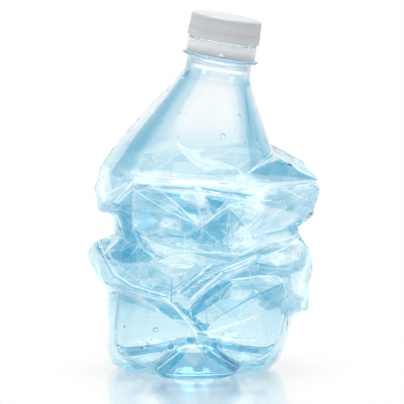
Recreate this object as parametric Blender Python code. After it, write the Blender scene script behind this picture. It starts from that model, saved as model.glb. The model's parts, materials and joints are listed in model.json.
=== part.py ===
"""A crushed clear drink bottle with its screw cap and the tamper ring left on its neck.

The bottle is one blown shell. Its foot and its neck are still round, and between them the wall
has buckled into two bulging lobes with a waist pinched in between. Each level of the buckled
wall is a closed chain of fold corners, and flat facets join each chain to the next.
All sizes are in millimetres here and become metres when a mesh is made.
"""

import math
import random

import bmesh
import bpy
from mathutils import Matrix, Vector
from mathutils.geometry import intersect_line_line_2d, intersect_point_tri_2d

MM = 0.001
SHARP_EDGE = math.radians(32)

# Neck: its own axis leans to the right, away from the upright foot.
NECK_FOOT = Vector((5.5, 0.0, 127.8))
NECK_LEAN = math.radians(9.7)
NECK_SIDES = 40
BORE_RADIUS = 10.9
NECK_RADIUS = 13.7
FINISH_RADIUS = 12.4
MOUTH_HEIGHT = 24.3
RING_RADIUS = 16.2
RING_BOTTOM = 7.4
RING_TOP = 8.3
BEAD_RADIUS = 13.5
BEAD_BOTTOM = 11.6
BEAD_TOP = 13.2

# Tamper ring and cap, as heights along the neck's axis.
BAND_BOTTOM = RING_TOP + 0.3
BAND_HEIGHT = 5.8
BAND_RADIUS = 14.65
BAND_WALL = 0.75
BAND_LIP_RADIUS = 13.0
CAP_BOTTOM = BAND_BOTTOM + BAND_HEIGHT + 1.0
CAP_HEIGHT = 10.3
CAP_RADIUS = 15.3
CAP_BORE = 13.8
CAP_ROUNDING = 1.4
CAP_STEP = 3.4
CAP_SIDES = 60

# Foot: five feet between five grooves, round a push-up in the middle.
AXIS_X = -3.0
FOOT_SIDES = 60
FOOT_COUNT = 5
GROOVE_BEARING = 18.0
GROOVE_HALF_WIDTH = 4.6
GROOVE_HALF_SHARE = 0.42
FOOT_AXIS_X = -4.3
FOOT_LEAN = 0.16
FOOT_LEAN_FROM = 6.0
FOOT_WALL_TOP = 20.0
FOOT_WALL_RISE = 0.42
FOOT_WALL_FOLLOWS = 0.55

# Wall: thick at the neck and at the gate, blown thin between them.
WALL = 0.45
NECK_WALL = 1.5
NECK_WALL_FADES = 9.0
GATE_WALL = 1.6
GATE_WALL_FADES = 24.0
LEAST_BEND = 0.62

# Shoulder: where its rings lie from the neck down, and how far it stands out of a straight cone.
# It is straight down its right side, and its left side has a full hip near the bottom.
SHOULDER_TOP = 0.9
SHOULDER_SHARES = (0.12, 0.3, 0.52, 0.7, 0.84, 0.94)
BULGE = 0.9
BULGE_SHIFT = 0.8
BULGE_LOST_RIGHT = 1.2
HIP_BULGE = 1.5
HIP_SHIFT = 3.1

# How evenly two uneven rings are joined, and how nearly a face looks at a fold cut into it.
EVEN_PULL = 40.0
SAME_CORNER = 0.01
FACING = 0.12
CUT_SNAP = 0.35

# Profile of a foot and of a groove, from the wall in to the gate: (radius, height).
# Heights in these tables start a little under the feet, which stand at STANDING_HEIGHT.
FOOT_PROFILE = (
    (38.3, 14.5), (37.9, 10.0), (36.6, 6.4), (34.4, 4.0), (31.8, 2.8), (29.4, 2.4),
    (22.5, 2.4), (18.0, 5.2), (14.0, 9.2), (11.0, 12.3), (9.0, 13.7), (6.2, 14.6), (3.0, 14.9),
)
GROOVE_PROFILE = (
    (38.3, 14.5), (37.2, 12.0), (35.4, 10.2), (33.0, 9.3), (30.6, 9.2), (28.0, 9.3),
    (22.5, 10.3), (18.0, 11.3), (14.0, 12.2), (11.0, 13.1), (9.0, 13.9), (6.2, 14.6), (3.0, 14.9),
)
GATE_HEIGHT = 15.0
STANDING_HEIGHT = 2.4

# Fold corners, level by level from the top: (bearing in degrees, reach from the axis, height).
# Bearings run from the left side (180) over the front (270) and the right (360) to the back (450).
SHOULDER_EDGE = (
    (176, 41.6, 87.5), (204, 41.5, 85.5), (227, 41.0, 89.0), (245, 40.5, 90.0),
    (261, 40.0, 89.0), (275, 40.0, 88.0), (291, 40.0, 89.0), (302, 39.0, 90.0),
    (319, 36.5, 92.0), (340, 35.2, 94.5), (369, 32.4, 95.0), (392, 34.5, 98.0),
    (418, 37.5, 95.5), (445, 39.5, 92.0), (470, 40.0, 95.0), (492, 41.0, 90.5),
    (515, 41.5, 89.5),
)
LOBE_MIDDLE = (
    (177, 43.0, 80.5), (205, 42.5, 81.5), (224, 42.5, 83.0), (244, 42.0, 86.5),
    (261, 41.5, 86.3), (275, 41.5, 85.0), (290, 42.5, 86.0), (306, 43.0, 87.0),
    (333, 43.9, 85.5), (355, 51.0, 83.7), (380, 48.1, 89.5), (402, 44.0, 91.0),
    (427, 42.5, 88.0), (452, 43.0, 86.5), (478, 43.0, 88.0), (503, 43.0, 84.0),
)
UPPER_RIDGE = (
    (177, 43.4, 72.2), (198, 43.0, 71.4), (218, 42.8, 74.0), (237, 43.5, 83.4),
    (252, 43.0, 83.0), (270, 43.8, 84.0), (287, 45.2, 82.0), (301, 45.8, 78.3),
    (322, 46.2, 77.0), (357, 52.3, 79.5), (383, 47.3, 80.0), (407, 45.0, 75.0),
    (434, 43.4, 78.5), (461, 44.6, 73.0), (488, 43.0, 77.0), (513, 43.0, 70.5),
)
WAIST_TOP = (
    (168, 37.6, 65.5), (204, 36.8, 69.5), (219, 41.6, 73.0), (232, 38.2, 74.3),
    (250, 35.6, 74.0), (263, 34.6, 73.0), (273, 37.4, 68.0), (283, 35.0, 72.4),
    (290, 38.6, 76.8), (298, 39.2, 75.4), (307, 40.6, 69.8), (321, 43.2, 72.2),
    (351, 49.6, 69.0), (376, 43.4, 71.5), (398, 36.5, 66.0), (424, 34.5, 70.0),
    (450, 37.0, 64.5), (476, 33.5, 68.5), (503, 36.0, 63.5),
)
WAIST_LOW = (
    (180, 34.4, 60.0), (208, 34.2, 61.0), (229, 33.6, 62.4), (242, 32.2, 64.5),
    (257, 28.6, 62.3), (273, 32.0, 63.0), (286, 30.4, 60.7), (295, 36.0, 62.0),
    (303, 38.6, 66.5), (315, 40.4, 64.0), (342, 44.6, 64.7), (370, 37.9, 62.5),
    (395, 31.0, 58.5), (420, 34.5, 62.0), (447, 29.0, 57.5), (475, 32.5, 60.0),
    (505, 34.5, 57.0),
)
LOWER_RIDGE = (
    (177, 44.8, 55.9), (203, 44.0, 52.4), (220, 42.2, 49.8), (233, 40.8, 52.8),
    (240, 39.2, 61.0), (253, 41.8, 61.4), (264, 42.8, 61.0), (272, 43.0, 58.8),
    (283, 43.8, 57.0), (292, 45.5, 56.6), (298, 46.0, 58.0), (307, 46.2, 59.0),
    (322, 47.4, 58.6), (344, 48.2, 56.0), (364, 48.6, 53.0), (388, 44.5, 50.5),
    (412, 43.5, 54.0), (438, 42.0, 49.0), (463, 43.0, 53.0), (489, 42.0, 48.0),
    (515, 43.5, 52.0),
)
LOWER_MIDDLE = (
    (176, 46.3, 51.8), (205, 44.0, 47.4), (222, 41.8, 45.3), (238, 39.6, 46.5),
    (250, 41.8, 50.8), (262, 40.6, 49.6), (273, 42.6, 51.8), (285, 39.6, 46.8),
    (297, 46.6, 53.3), (307, 46.6, 50.0), (320, 48.0, 47.8), (338, 48.0, 43.4),
    (362, 49.2, 46.4), (385, 45.5, 41.5), (410, 41.5, 45.5), (436, 41.5, 40.5),
    (462, 40.5, 45.0), (489, 41.0, 39.5), (515, 41.5, 44.0),
)
FLANGE_UNDER = (
    (177, 44.2, 43.8), (209, 43.8, 42.1), (227, 43.4, 40.7), (241, 43.0, 39.0),
    (255, 42.0, 38.6), (266, 41.6, 35.5), (276, 37.0, 36.8), (288, 42.4, 44.4),
    (300, 45.4, 45.5), (318, 48.4, 43.0), (340, 47.4, 35.8), (362, 48.6, 33.8),
    (386, 45.5, 33.0), (411, 42.0, 36.5), (437, 40.5, 31.5), (463, 41.5, 35.5),
    (490, 40.5, 31.0), (515, 42.0, 36.5),
)
V_FOLD_UPPER = (
    (177, 44.2, 43.8), (209, 43.8, 42.1), (227, 43.4, 40.7), (241, 43.0, 39.0),
    (255, 41.4, 36.4), (267, 37.6, 29.0), (277, 34.0, 26.1), (288, 36.2, 31.0),
    (297, 40.6, 36.3), (318, 48.4, 43.0), (342, 45.8, 29.0), (362, 47.4, 27.0),
    (386, 44.5, 28.0), (411, 42.0, 36.5), (437, 40.5, 31.5), (463, 41.5, 35.5),
    (490, 40.5, 31.0), (515, 42.0, 36.5),
)
V_FOLD_LOWER = (
    (178, 39.2, 34.5), (211, 38.4, 37.4), (229, 38.0, 34.5), (246, 37.2, 31.4),
    (255, 36.4, 28.4), (266, 34.4, 26.3), (274, 32.4, 22.9), (285, 35.6, 25.3),
    (296, 39.4, 27.6), (309, 41.2, 30.5), (325, 41.0, 32.8), (344, 40.4, 25.5),
    (362, 42.0, 25.0), (386, 40.0, 25.0), (411, 38.0, 30.5), (437, 36.8, 25.5),
    (463, 37.2, 29.5), (490, 36.8, 25.5), (515, 38.0, 30.5),
)
FOLD_LEVELS = (
    LOBE_MIDDLE, UPPER_RIDGE, WAIST_TOP, WAIST_LOW, LOWER_RIDGE, LOWER_MIDDLE,
    FLANGE_UNDER, V_FOLD_UPPER, V_FOLD_LOWER,
)

# Folds that cross the levels, seen from one side: (bearing it is seen from, half width, points).
# Each point is (distance to the viewer's right, height, how far out it stands; inwards is minus).
FRONT = 270
CROSSING_FOLDS = (
    # Shoulder: a dented triangle in front, and pleats running down to the right wing.
    (FRONT, 2.0, ((-11.0, 101.4, 0.1), (-5.0, 98.0, 0.9), (3.0, 94.6, 0.9), (15.0, 91.2, 0.3))),
    (FRONT, 2.0, ((-11.0, 101.4, 0.1), (-7.0, 96.2, 0.9), (-1.5, 91.4, 0.5))),
    (FRONT, 3.5, ((-6.0, 96.6, -0.3), (-0.5, 94.6, -0.9), (4.0, 92.6, -0.3))),
    (FRONT, 2.2, ((19.3, 113.0, 0.0), (20.8, 103.0, -0.7), (22.3, 93.6, -1.4))),
    (FRONT, 1.6, ((21.6, 112.0, 0.0), (23.2, 103.0, 0.6), (24.8, 96.5, 0.8))),
    # Upper lobe: the long band under the shoulder, drawn to the tip of the right wing.
    (FRONT, 2.2, ((-31.0, 90.4, 0.4), (-12.0, 91.0, 0.7), (4.0, 89.9, 0.7), (18.0, 90.1, 0.9),
                  (24.0, 93.0, 1.5), (29.5, 96.4, 0.8))),
    (FRONT, 2.0, ((-27.0, 88.8, -0.2), (-10.0, 88.1, -0.9), (4.0, 87.6, -0.9),
                  (22.0, 86.9, -1.0), (44.0, 84.9, -0.3))),
    (FRONT, 1.8, ((-24.0, 86.5, 0.2), (-6.0, 86.1, 0.8), (10.0, 86.0, 0.9),
                  (26.0, 85.5, 0.8), (45.0, 84.3, 0.2))),
    (FRONT, 1.6, ((6.0, 84.2, -0.2), (22.0, 84.0, -0.9), (44.0, 83.4, -0.1))),
    (FRONT, 3.0, ((22.5, 90.2, -0.8), (33.0, 91.4, -1.9), (44.0, 87.6, -0.5))),
    (FRONT, 2.0, ((30.0, 95.8, 0.2), (35.5, 92.4, 1.2), (40.5, 92.2, 0.3))),
    (FRONT, 2.6, ((22.0, 79.6, 0.5), (28.0, 79.6, 1.2), (34.0, 81.0, 1.1), (45.5, 83.0, 0.1))),
    (FRONT, 2.4, ((28.0, 76.8, -0.6), (33.0, 73.4, -1.5), (38.5, 70.2, -0.5))),
    (FRONT, 1.6, ((33.0, 79.6, 0.1), (37.0, 77.4, 0.8), (42.5, 74.2, 0.5))),
    # Left ear: pleats pressed side by side.
    (FRONT, 1.3, ((-37.2, 74.9, 0.2), (-32.6, 79.6, 1.1), (-28.4, 84.0, 0.6))),
    (FRONT, 1.3, ((-38.8, 75.2, -0.2), (-34.4, 80.1, -1.1), (-30.4, 84.0, -0.4))),
    (FRONT, 1.3, ((-40.6, 75.8, 0.2), (-36.4, 80.4, 1.0), (-32.6, 83.8, 0.3))),
    (FRONT, 1.3, ((-42.4, 76.6, 0.0), (-38.2, 80.6, -0.8), (-35.0, 82.8, 0.0))),
    (FRONT, 2.4, ((-28.4, 84.0, 0.6), (-28.7, 79.5, 1.3), (-29.2, 75.0, 1.0))),
    # Between the lobes, left: a wave, and the folds that meet in a cross.
    (FRONT, 1.8, ((-26.0, 81.8, 0.0), (-20.0, 81.2, -1.3), (-12.0, 80.1, -1.1),
                  (-5.0, 80.5, -0.2))),
    (FRONT, 1.8, ((-26.0, 80.0, 0.3), (-19.0, 79.4, 1.0), (-13.0, 76.6, 1.2),
                  (-8.0, 72.6, 1.0), (-4.0, 70.0, 1.2), (-0.6, 68.2, 1.2))),
    (FRONT, 2.0, ((-13.0, 78.4, -0.2), (-8.5, 75.6, -1.8), (-3.0, 73.4, -2.0), (1.0, 73.9, -0.6))),
    (FRONT, 2.2, ((-24.0, 77.8, -0.3), (-20.0, 76.4, -1.2), (-16.0, 75.4, -0.4))),
    (FRONT, 1.8, ((1.2, 80.4, 0.6), (1.6, 75.5, 1.4), (1.8, 70.2, 0.6))),
    (FRONT, 1.8, ((2.4, 79.6, -0.6), (5.2, 78.4, -1.6), (8.0, 77.2, -0.5))),
    (FRONT, 1.8, ((8.2, 77.0, 0.6), (5.6, 74.4, 0.9), (3.4, 71.0, 0.3))),
    (FRONT, 2.0, ((-0.6, 68.2, 1.2), (5.0, 71.6, 1.3), (10.5, 75.0, 0.6))),
    (FRONT, 2.0, ((-0.6, 68.2, 1.2), (-4.5, 65.9, 1.2), (-10.0, 63.2, 0.3))),
    (FRONT, 3.0, ((6.5, 69.6, -0.6), (4.8, 65.6, -1.6), (2.0, 62.4, -0.5))),
    (FRONT, 1.8, ((-10.5, 71.5, 0.2), (-10.8, 67.5, 0.9), (-12.0, 64.0, 0.1))),
    (FRONT, 2.4, ((-33.0, 73.0, 0.2), (-30.0, 67.5, 1.2), (-26.0, 62.6, 0.4))),
    (FRONT, 2.0, ((-24.0, 71.5, -0.3), (-18.5, 70.2, -1.3), (-14.5, 68.0, -0.3))),
    # Between the lobes, right: small crumples.
    (FRONT, 1.8, ((10.8, 75.2, 0.6), (15.2, 76.6, 1.2), (18.6, 74.4, 1.0), (19.6, 69.0, 0.3))),
    (FRONT, 2.2, ((12.0, 72.4, -0.6), (15.2, 69.2, -1.7), (13.0, 64.8, -0.5))),
    (FRONT, 1.8, ((26.2, 76.2, 0.3), (24.4, 71.2, 1.4), (19.8, 66.8, 1.3), (13.4, 62.0, 0.3))),
    (FRONT, 2.0, ((27.4, 71.6, -0.4), (22.6, 66.6, -1.5), (18.0, 62.2, -0.3))),
    (FRONT, 1.6, ((6.6, 67.0, 0.2), (9.4, 64.8, 1.2), (8.2, 61.0, 0.4))),
    (FRONT, 1.6, ((9.0, 61.6, 0.1), (12.4, 63.4, -1.1), (16.0, 63.2, -0.1))),
    (FRONT, 2.0, ((24.0, 64.4, 0.2), (30.0, 64.0, 1.0), (36.0, 66.6, 0.3))),
    # Lower lobe: the doubled ridge, a lens-shaped dent and the folded left flange.
    (FRONT, 1.8, ((-15.0, 59.4, -0.2), (-6.0, 58.4, -1.1), (4.0, 55.9, -1.1), (13.0, 54.9, -0.9),
                  (22.0, 56.6, -0.7), (36.0, 58.8, -0.1))),
    (FRONT, 1.8, ((-18.5, 55.0, 0.2), (-13.5, 57.2, 1.1), (-8.0, 56.6, 1.3), (-3.0, 54.4, 1.0),
                  (2.0, 52.4, 0.2))),
    (FRONT, 3.0, ((-16.0, 53.0, -0.4), (-10.0, 53.2, -1.6), (-5.0, 52.6, -0.6))),
    (FRONT, 2.0, ((-19.0, 50.6, 0.2), (-13.5, 48.4, 1.3), (-9.0, 48.6, 1.5), (-4.5, 50.8, 1.0),
                  (-1.0, 53.0, 0.2))),
    (FRONT, 1.8, ((-25.6, 61.4, 0.7), (-22.6, 57.6, 1.2), (-18.5, 55.2, 0.4))),
    (FRONT, 1.8, ((-26.4, 60.4, -0.7), (-24.6, 56.6, -1.6), (-21.6, 53.8, -0.3))),
    (FRONT, 1.8, ((-27.0, 61.0, 0.4), (-28.8, 57.0, 1.2), (-31.4, 53.4, 0.3))),
    (FRONT, 2.2, ((-29.6, 61.0, -0.5), (-33.6, 57.0, -1.6), (-38.0, 54.4, -0.3))),
    (FRONT, 1.8, ((-43.6, 58.8, 0.1), (-39.8, 53.6, 1.0), (-35.2, 49.4, 0.9), (-29.5, 46.4, 0.2))),
    (FRONT, 1.6, ((-43.4, 55.4, 0.0), (-40.4, 50.6, -1.1), (-37.0, 46.4, -0.9), (-31.0, 43.2, -0.1))),
    (FRONT, 2.4, ((-24.6, 52.2, 0.0), (-21.8, 48.0, -1.7), (-19.6, 42.4, -0.5))),
    (FRONT, 2.2, ((-30.0, 49.0, 0.2), (-26.5, 45.2, 1.1), (-22.5, 41.6, 0.2))),
    (FRONT, 1.8, ((-18.0, 46.8, 0.2), (-14.0, 45.8, 1.1), (-11.0, 43.2, 0.3))),
    # Lower lobe: the bundle of folds that sweeps up to the right, and the steep channel under it.
    (FRONT, 1.6, ((-16.5, 39.6, 0.6), (-12.0, 42.6, 1.1), (-7.0, 46.4, 1.3), (-1.0, 49.2, 1.2),
                  (6.0, 50.8, 1.0), (14.0, 52.7, 0.9), (21.0, 53.3, 0.5))),
    (FRONT, 1.3, ((-13.6, 39.9, -0.4), (-9.0, 42.4, -1.2), (-4.0, 46.0, -1.2),
                  (3.0, 48.9, -0.9), (9.0, 49.6, -0.3))),
    (FRONT, 1.2, ((-9.6, 40.2, 0.3), (-6.0, 42.9, 1.1), (-1.4, 46.4, 1.1), (4.0, 48.0, 0.3))),
    (FRONT, 1.1, ((-7.4, 39.8, -0.3), (-4.0, 42.4, -1.1), (0.0, 45.4, -1.1), (4.0, 46.8, -0.3))),
    (FRONT, 1.1, ((-5.4, 39.2, 0.3), (-2.2, 41.8, 1.0), (1.4, 44.4, 1.0), (5.4, 46.2, 0.3))),
    (FRONT, 1.6, ((-16.0, 39.6, 0.5), (-9.0, 39.6, 1.0), (-2.6, 37.6, 0.5))),
    (FRONT, 1.6, ((21.0, 52.6, 0.5), (13.0, 49.4, 1.2), (7.0, 46.0, 1.3), (0.0, 40.4, 1.3),
                  (-5.0, 34.6, 0.9), (-8.0, 31.0, 0.3))),
    (FRONT, 2.4, ((18.0, 49.6, -0.6), (11.0, 45.8, -1.9), (5.5, 41.8, -2.2), (1.2, 37.4, -2.1),
                  (-3.0, 32.6, -1.0))),
    # Right end of the lower lobe.
    (FRONT, 2.2, ((21.0, 53.2, 0.6), (25.0, 51.2, 1.2), (30.0, 50.0, 1.0), (36.0, 48.4, 1.0),
                  (41.0, 46.4, 0.2))),
    (FRONT, 1.8, ((23.0, 53.6, 0.1), (33.0, 55.4, 1.0), (41.4, 58.0, 0.2))),
    (FRONT, 2.2, ((24.0, 48.4, -0.3), (31.0, 46.8, -1.3), (38.5, 44.6, -0.4))),
    (FRONT, 2.0, ((31.4, 43.6, 0.4), (35.6, 40.4, 1.0), (38.6, 35.4, 0.3))),
    # V fold: two arms over the round foot wall.
    (FRONT, 1.6, ((-14.2, 36.6, 0.5), (-9.0, 31.4, 1.2), (-3.2, 27.2, 0.5))),
    (FRONT, 1.8, ((-21.0, 35.4, -0.3), (-14.6, 31.2, -1.7), (-8.6, 28.6, -0.6))),
    (FRONT, 1.6, ((-11.8, 36.0, -0.5), (-6.6, 30.8, -1.5), (-0.8, 26.4, -2.0), (2.6, 27.4, -0.5))),
    (FRONT, 2.0, ((1.0, 26.4, 0.5), (9.0, 31.0, 1.2), (17.0, 36.0, 1.2), (26.5, 41.0, 0.9),
                  (33.2, 43.8, 0.4))),
    (FRONT, 1.8, ((0.5, 24.2, 0.3), (10.0, 27.4, 1.1), (20.0, 30.4, 1.0), (30.0, 32.6, 0.1))),
    (FRONT, 1.8, ((9.6, 45.2, 0.3), (18.0, 45.9, 1.0), (27.5, 45.5, 0.9), (33.2, 43.8, 0.4))),
    (FRONT, 1.8, ((10.5, 43.2, -0.4), (20.0, 43.4, -1.3), (28.5, 42.6, -0.3))),
    (FRONT, 2.2, ((22.0, 39.0, -0.4), (25.5, 38.2, -1.2), (28.6, 36.0, -0.2))),
)

# Folds on the sides and the back follow no order: how many, and the seed that lays them out.
LOOSE_FOLDS = 60
LOOSE_SEED = 7
LOOSE_SIDES = (350, 30, 62, 90, 118, 150, 190)
LOOSE_HEIGHTS = ((30, 53), (73, 91))


def clear_scene():
    for thing in list(bpy.data.objects):
        bpy.data.objects.remove(thing, do_unlink=True)


def make_material(name, colour, roughness, transmission):
    material = bpy.data.materials.new(name)
    material.use_nodes = True
    shader = material.node_tree.nodes["Principled BSDF"]
    shader.inputs["Base Color"].default_value = (*colour, 1.0)
    shader.inputs["Roughness"].default_value = roughness
    shader.inputs["Transmission Weight"].default_value = transmission
    return material


def neck_matrix():
    return Matrix.Translation(NECK_FOOT) @ Matrix.Rotation(NECK_LEAN, 4, "Y")


def polar(radius, bearing, height):
    angle = math.radians(bearing)
    return Vector((radius * math.cos(angle), radius * math.sin(angle), height))


def fold_corner(corner):
    bearing, reach, height = corner
    return polar(reach, bearing, height) + Vector((AXIS_X, 0.0, 0.0))


def at_bearing(chain, bearing):
    """The point of a closed chain of corners that faces the bearing."""
    around = list(chain) + [(chain[0][0] + 360, *chain[0][1:])]
    while bearing < around[0][0]:
        bearing += 360
    for start, end in zip(around, around[1:]):
        if bearing <= end[0]:
            share = (bearing - start[0]) / (end[0] - start[0])
            return fold_corner(start).lerp(fold_corner(end), share)
    raise ValueError("the bearing is past the end of the chain")


def neck_ring(radius, height):
    place = neck_matrix()
    bearings = (180 + 360 * side / NECK_SIDES for side in range(NECK_SIDES))
    return [place @ polar(radius, bearing, height) for bearing in bearings]


def shoulder_bulge(bearing, share):
    """How far the shoulder stands out of a straight cone."""
    left = -math.cos(math.radians(bearing))
    bulge = BULGE * (1 + BULGE_LOST_RIGHT * min(0.0, left)) * math.sin(math.pi * share**BULGE_SHIFT)
    return bulge + HIP_BULGE * max(0.0, left) ** 2 * math.sin(math.pi * share**HIP_SHIFT)


def shoulder_ring(share):
    """A ring of the cone between the neck (share 0) and the first folded edge (share 1)."""
    upper = neck_ring(NECK_RADIUS, SHOULDER_TOP)
    ring = []
    for side, top in enumerate(upper):
        bearing = 180 + 360 * side / NECK_SIDES
        bottom = at_bearing(SHOULDER_EDGE, bearing)
        outward = (bottom - top).cross(Vector((0, 0, 1))).cross(bottom - top).normalized()
        ring.append(top.lerp(bottom, share) + outward * shoulder_bulge(bearing, share))
    return ring


def groove_share(bearing, radius):
    """0 on the floor of a groove and 1 on a foot."""
    spacing = 360 / FOOT_COUNT
    apart = abs((bearing - GROOVE_BEARING + spacing / 2) % spacing - spacing / 2)
    half = min(GROOVE_HALF_WIDTH, GROOVE_HALF_SHARE * math.radians(spacing) * radius)
    share = min(1.0, math.radians(apart) * radius / half)
    return share * share * (3 - 2 * share)


def foot_centre(height):
    return Vector((FOOT_AXIS_X + FOOT_LEAN * max(0.0, height - FOOT_LEAN_FROM), 0.0, 0.0))


def foot_ring(foot, groove):
    ring = []
    for side in range(FOOT_SIDES):
        bearing = 180 + 360 * side / FOOT_SIDES
        share = groove_share(bearing, foot[0])
        radius = groove[0] + (foot[0] - groove[0]) * share
        height = groove[1] + (foot[1] - groove[1]) * share
        ring.append(polar(radius, bearing, height) + foot_centre(height))
    return ring


def foot_wall_ring():
    """The ring where the round foot wall begins to follow the folds above it."""
    ring = []
    for side in range(FOOT_SIDES):
        bearing = 180 + 360 * side / FOOT_SIDES
        round_point = polar(FOOT_PROFILE[0][0], bearing, FOOT_WALL_TOP) + foot_centre(FOOT_WALL_TOP)
        fold = at_bearing(V_FOLD_LOWER, bearing)
        share = (FOOT_WALL_TOP - FOOT_PROFILE[0][1]) / (fold.z - FOOT_PROFILE[0][1])
        mixed = round_point.lerp(fold, FOOT_WALL_FOLLOWS * share)
        mixed.z = FOOT_PROFILE[0][1] + (fold.z - FOOT_PROFILE[0][1]) * FOOT_WALL_RISE
        ring.append(mixed)
    return ring


def add_ring(mesh, points):
    return [mesh.verts.new(point) for point in points]


def bridge_even(mesh, upper, lower):
    """Joins two rings of as many corners with one face a side; the upper ring comes first."""
    count = len(upper)
    for side in range(count):
        after = (side + 1) % count
        mesh.faces.new((upper[side], lower[side], lower[after], upper[after]))


def bridge_uneven(mesh, upper, lower):
    """Joins two rings with triangles, always along the shorter way across."""
    above, below = 0, 0
    while above < len(upper) or below < len(lower):
        top, low = upper[above % len(upper)], lower[below % len(lower)]
        next_top, next_low = upper[(above + 1) % len(upper)], lower[(below + 1) % len(lower)]
        ahead = above / len(upper) - below / len(lower)
        step_top = (next_top.co - low.co).length + EVEN_PULL * ahead
        step_low = (next_low.co - top.co).length - EVEN_PULL * ahead
        if below >= len(lower) or (above < len(upper) and step_top < step_low):
            add_face(mesh, (top, low, next_top))
            above += 1
        else:
            add_face(mesh, (top, low, next_low))
            below += 1


def add_face(mesh, corners):
    if len(set(corners)) == len(corners):
        mesh.faces.new(corners)


def level_ring(mesh, corners, above):
    """A chain of fold corners, sharing a vertex with the level above where both name one place."""
    ring = []
    for corner in corners:
        point = fold_corner(corner)
        shared = [vert for vert in above if (vert.co - point).length < SAME_CORNER]
        ring.append(shared[0] if shared else mesh.verts.new(point))
    return ring


def body_wall(mesh):
    """The single outer surface from the neck's foot to the gate, and its first ring."""
    first = ring = add_ring(mesh, shoulder_ring(0.0))
    for share in SHOULDER_SHARES:
        lower = add_ring(mesh, shoulder_ring(share))
        bridge_even(mesh, ring, lower)
        ring = lower
    for corners in (SHOULDER_EDGE, *FOLD_LEVELS):
        lower = level_ring(mesh, corners, ring)
        bridge_uneven(mesh, ring, lower)
        ring = lower
    lower = add_ring(mesh, foot_wall_ring())
    bridge_uneven(mesh, ring, lower)
    ring = lower
    for foot, groove in zip(FOOT_PROFILE, GROOVE_PROFILE):
        lower = add_ring(mesh, foot_ring(foot, groove))
        bridge_even(mesh, ring, lower)
        ring = lower
    gate = mesh.verts.new(foot_centre(0.0) + Vector((0, 0, GATE_HEIGHT)))
    for side in range(FOOT_SIDES):
        mesh.faces.new((ring[side], gate, ring[(side + 1) % FOOT_SIDES]))
    return first


def seen_from(bearing, point):
    """A point as (distance to the viewer's right, height, distance towards the viewer)."""
    right, towards = polar(1.0, bearing + 90, 0.0), polar(1.0, bearing, 0.0)
    return Vector((point.dot(right), point.z, point.dot(towards)))


def loose_folds():
    """Short folds scattered over the sides and the back of both lobes, some out and some in."""
    chance = random.Random(LOOSE_SEED)
    folds = []
    for number in range(LOOSE_FOLDS):
        middle = Vector((chance.uniform(-22, 22), chance.uniform(*LOOSE_HEIGHTS[number % 2])))
        half = Vector((chance.uniform(5, 11), chance.uniform(-5, 5)))
        bend = Vector((0, chance.uniform(-2.5, 2.5)))
        depth = chance.uniform(0.9, 1.8) * chance.choice((-1, 1))
        points = ((*(middle - half), 0.2 * depth), (*(middle + bend), depth),
                  (*(middle + half), 0.2 * depth))
        folds.append((LOOSE_SIDES[number % len(LOOSE_SIDES)], chance.uniform(1.8, 3.0), points))
    return folds


def cut_along(mesh, bearing, start, end):
    """Cuts the faces that a fold's segment crosses, so that an edge lies along it."""
    towards = polar(1.0, bearing, 0.0)
    right = polar(1.0, bearing + 90, 0.0)
    crossed = []
    for face in mesh.faces:
        if face.normal.dot(towards) < FACING or face.calc_center_median().dot(towards) < 0:
            continue
        flat = [seen_from(bearing, vert.co).xy for vert in face.verts]
        inside = any(intersect_point_tri_2d(point, flat[0], flat[side], flat[side + 1])
                     for point in (start, end) for side in range(1, len(flat) - 1))
        if inside or any(intersect_line_line_2d(start, end, flat[side - 1], flat[side])
                         for side in range(len(flat))):
            crossed.append(face)
    parts = set(crossed)
    for face in crossed:
        parts.update(face.edges, face.verts)
    line = end - start
    across = (right * -line.y + Vector((0, 0, line.x))).normalized()
    on_line = right * start.x + Vector((0, 0, start.y))
    cut = bmesh.ops.bisect_plane(mesh, geom=list(parts), dist=CUT_SNAP,
                                 plane_co=on_line, plane_no=across)["geom_cut"]
    for point in (start, end):
        for edge in [part for part in cut if isinstance(part, bmesh.types.BMEdge)]:
            near, far = (seen_from(bearing, vert.co).xy for vert in edge.verts)
            share = (point - near).dot(far - near) / max((far - near).length_squared, 1e-9)
            if CUT_SNAP < share * (far - near).length < (far - near).length - CUT_SNAP:
                if abs((point - near).cross(far - near)) < CUT_SNAP * (far - near).length:
                    bmesh.utils.edge_split(edge, edge.verts[0], share)
                    break


def fold_push(fold, point):
    """How far one fold moves a point outwards, as seen from the fold's side."""
    bearing, half_width, corners = fold
    seen = seen_from(bearing, point)
    strongest = 0.0
    for (x0, z0, out0), (x1, z1, out1) in zip(corners, corners[1:]):
        start, line = Vector((x0, z0)), Vector((x1 - x0, z1 - z0))
        share = min(1.0, max(0.0, (seen.xy - start).dot(line) / line.length_squared))
        apart = (seen.xy - start - line * share).length
        push = (out0 + (out1 - out0) * share) * max(0.0, 1 - apart / half_width)
        if abs(push) > abs(strongest):
            strongest = push
    return strongest


def push_of(pair):
    return pair[0]


def press_folds(mesh):
    """Cuts every crossing fold into the outer surface, then moves its corners out or in."""
    folds = [*CROSSING_FOLDS, *loose_folds()]
    for bearing, _, corners in folds:
        for start, end in zip(corners, corners[1:]):
            mesh.normal_update()
            cut_along(mesh, bearing, Vector(start[:2]), Vector(end[:2]))
    bmesh.ops.triangulate(mesh, faces=mesh.faces)
    mesh.normal_update()
    moves = []
    for vert in mesh.verts:
        pushes = [(0.0, Vector())]
        for fold in folds:
            towards = polar(1.0, fold[0], 0.0)
            if vert.normal.dot(towards) > FACING and vert.co.dot(towards) > 0:
                pushes.append((fold_push(fold, vert.co), towards))
        for push, towards in (max(pushes, key=push_of), min(pushes, key=push_of)):
            moves.append((vert, towards * push))
    for vert, move in moves:
        vert.co += move


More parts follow.
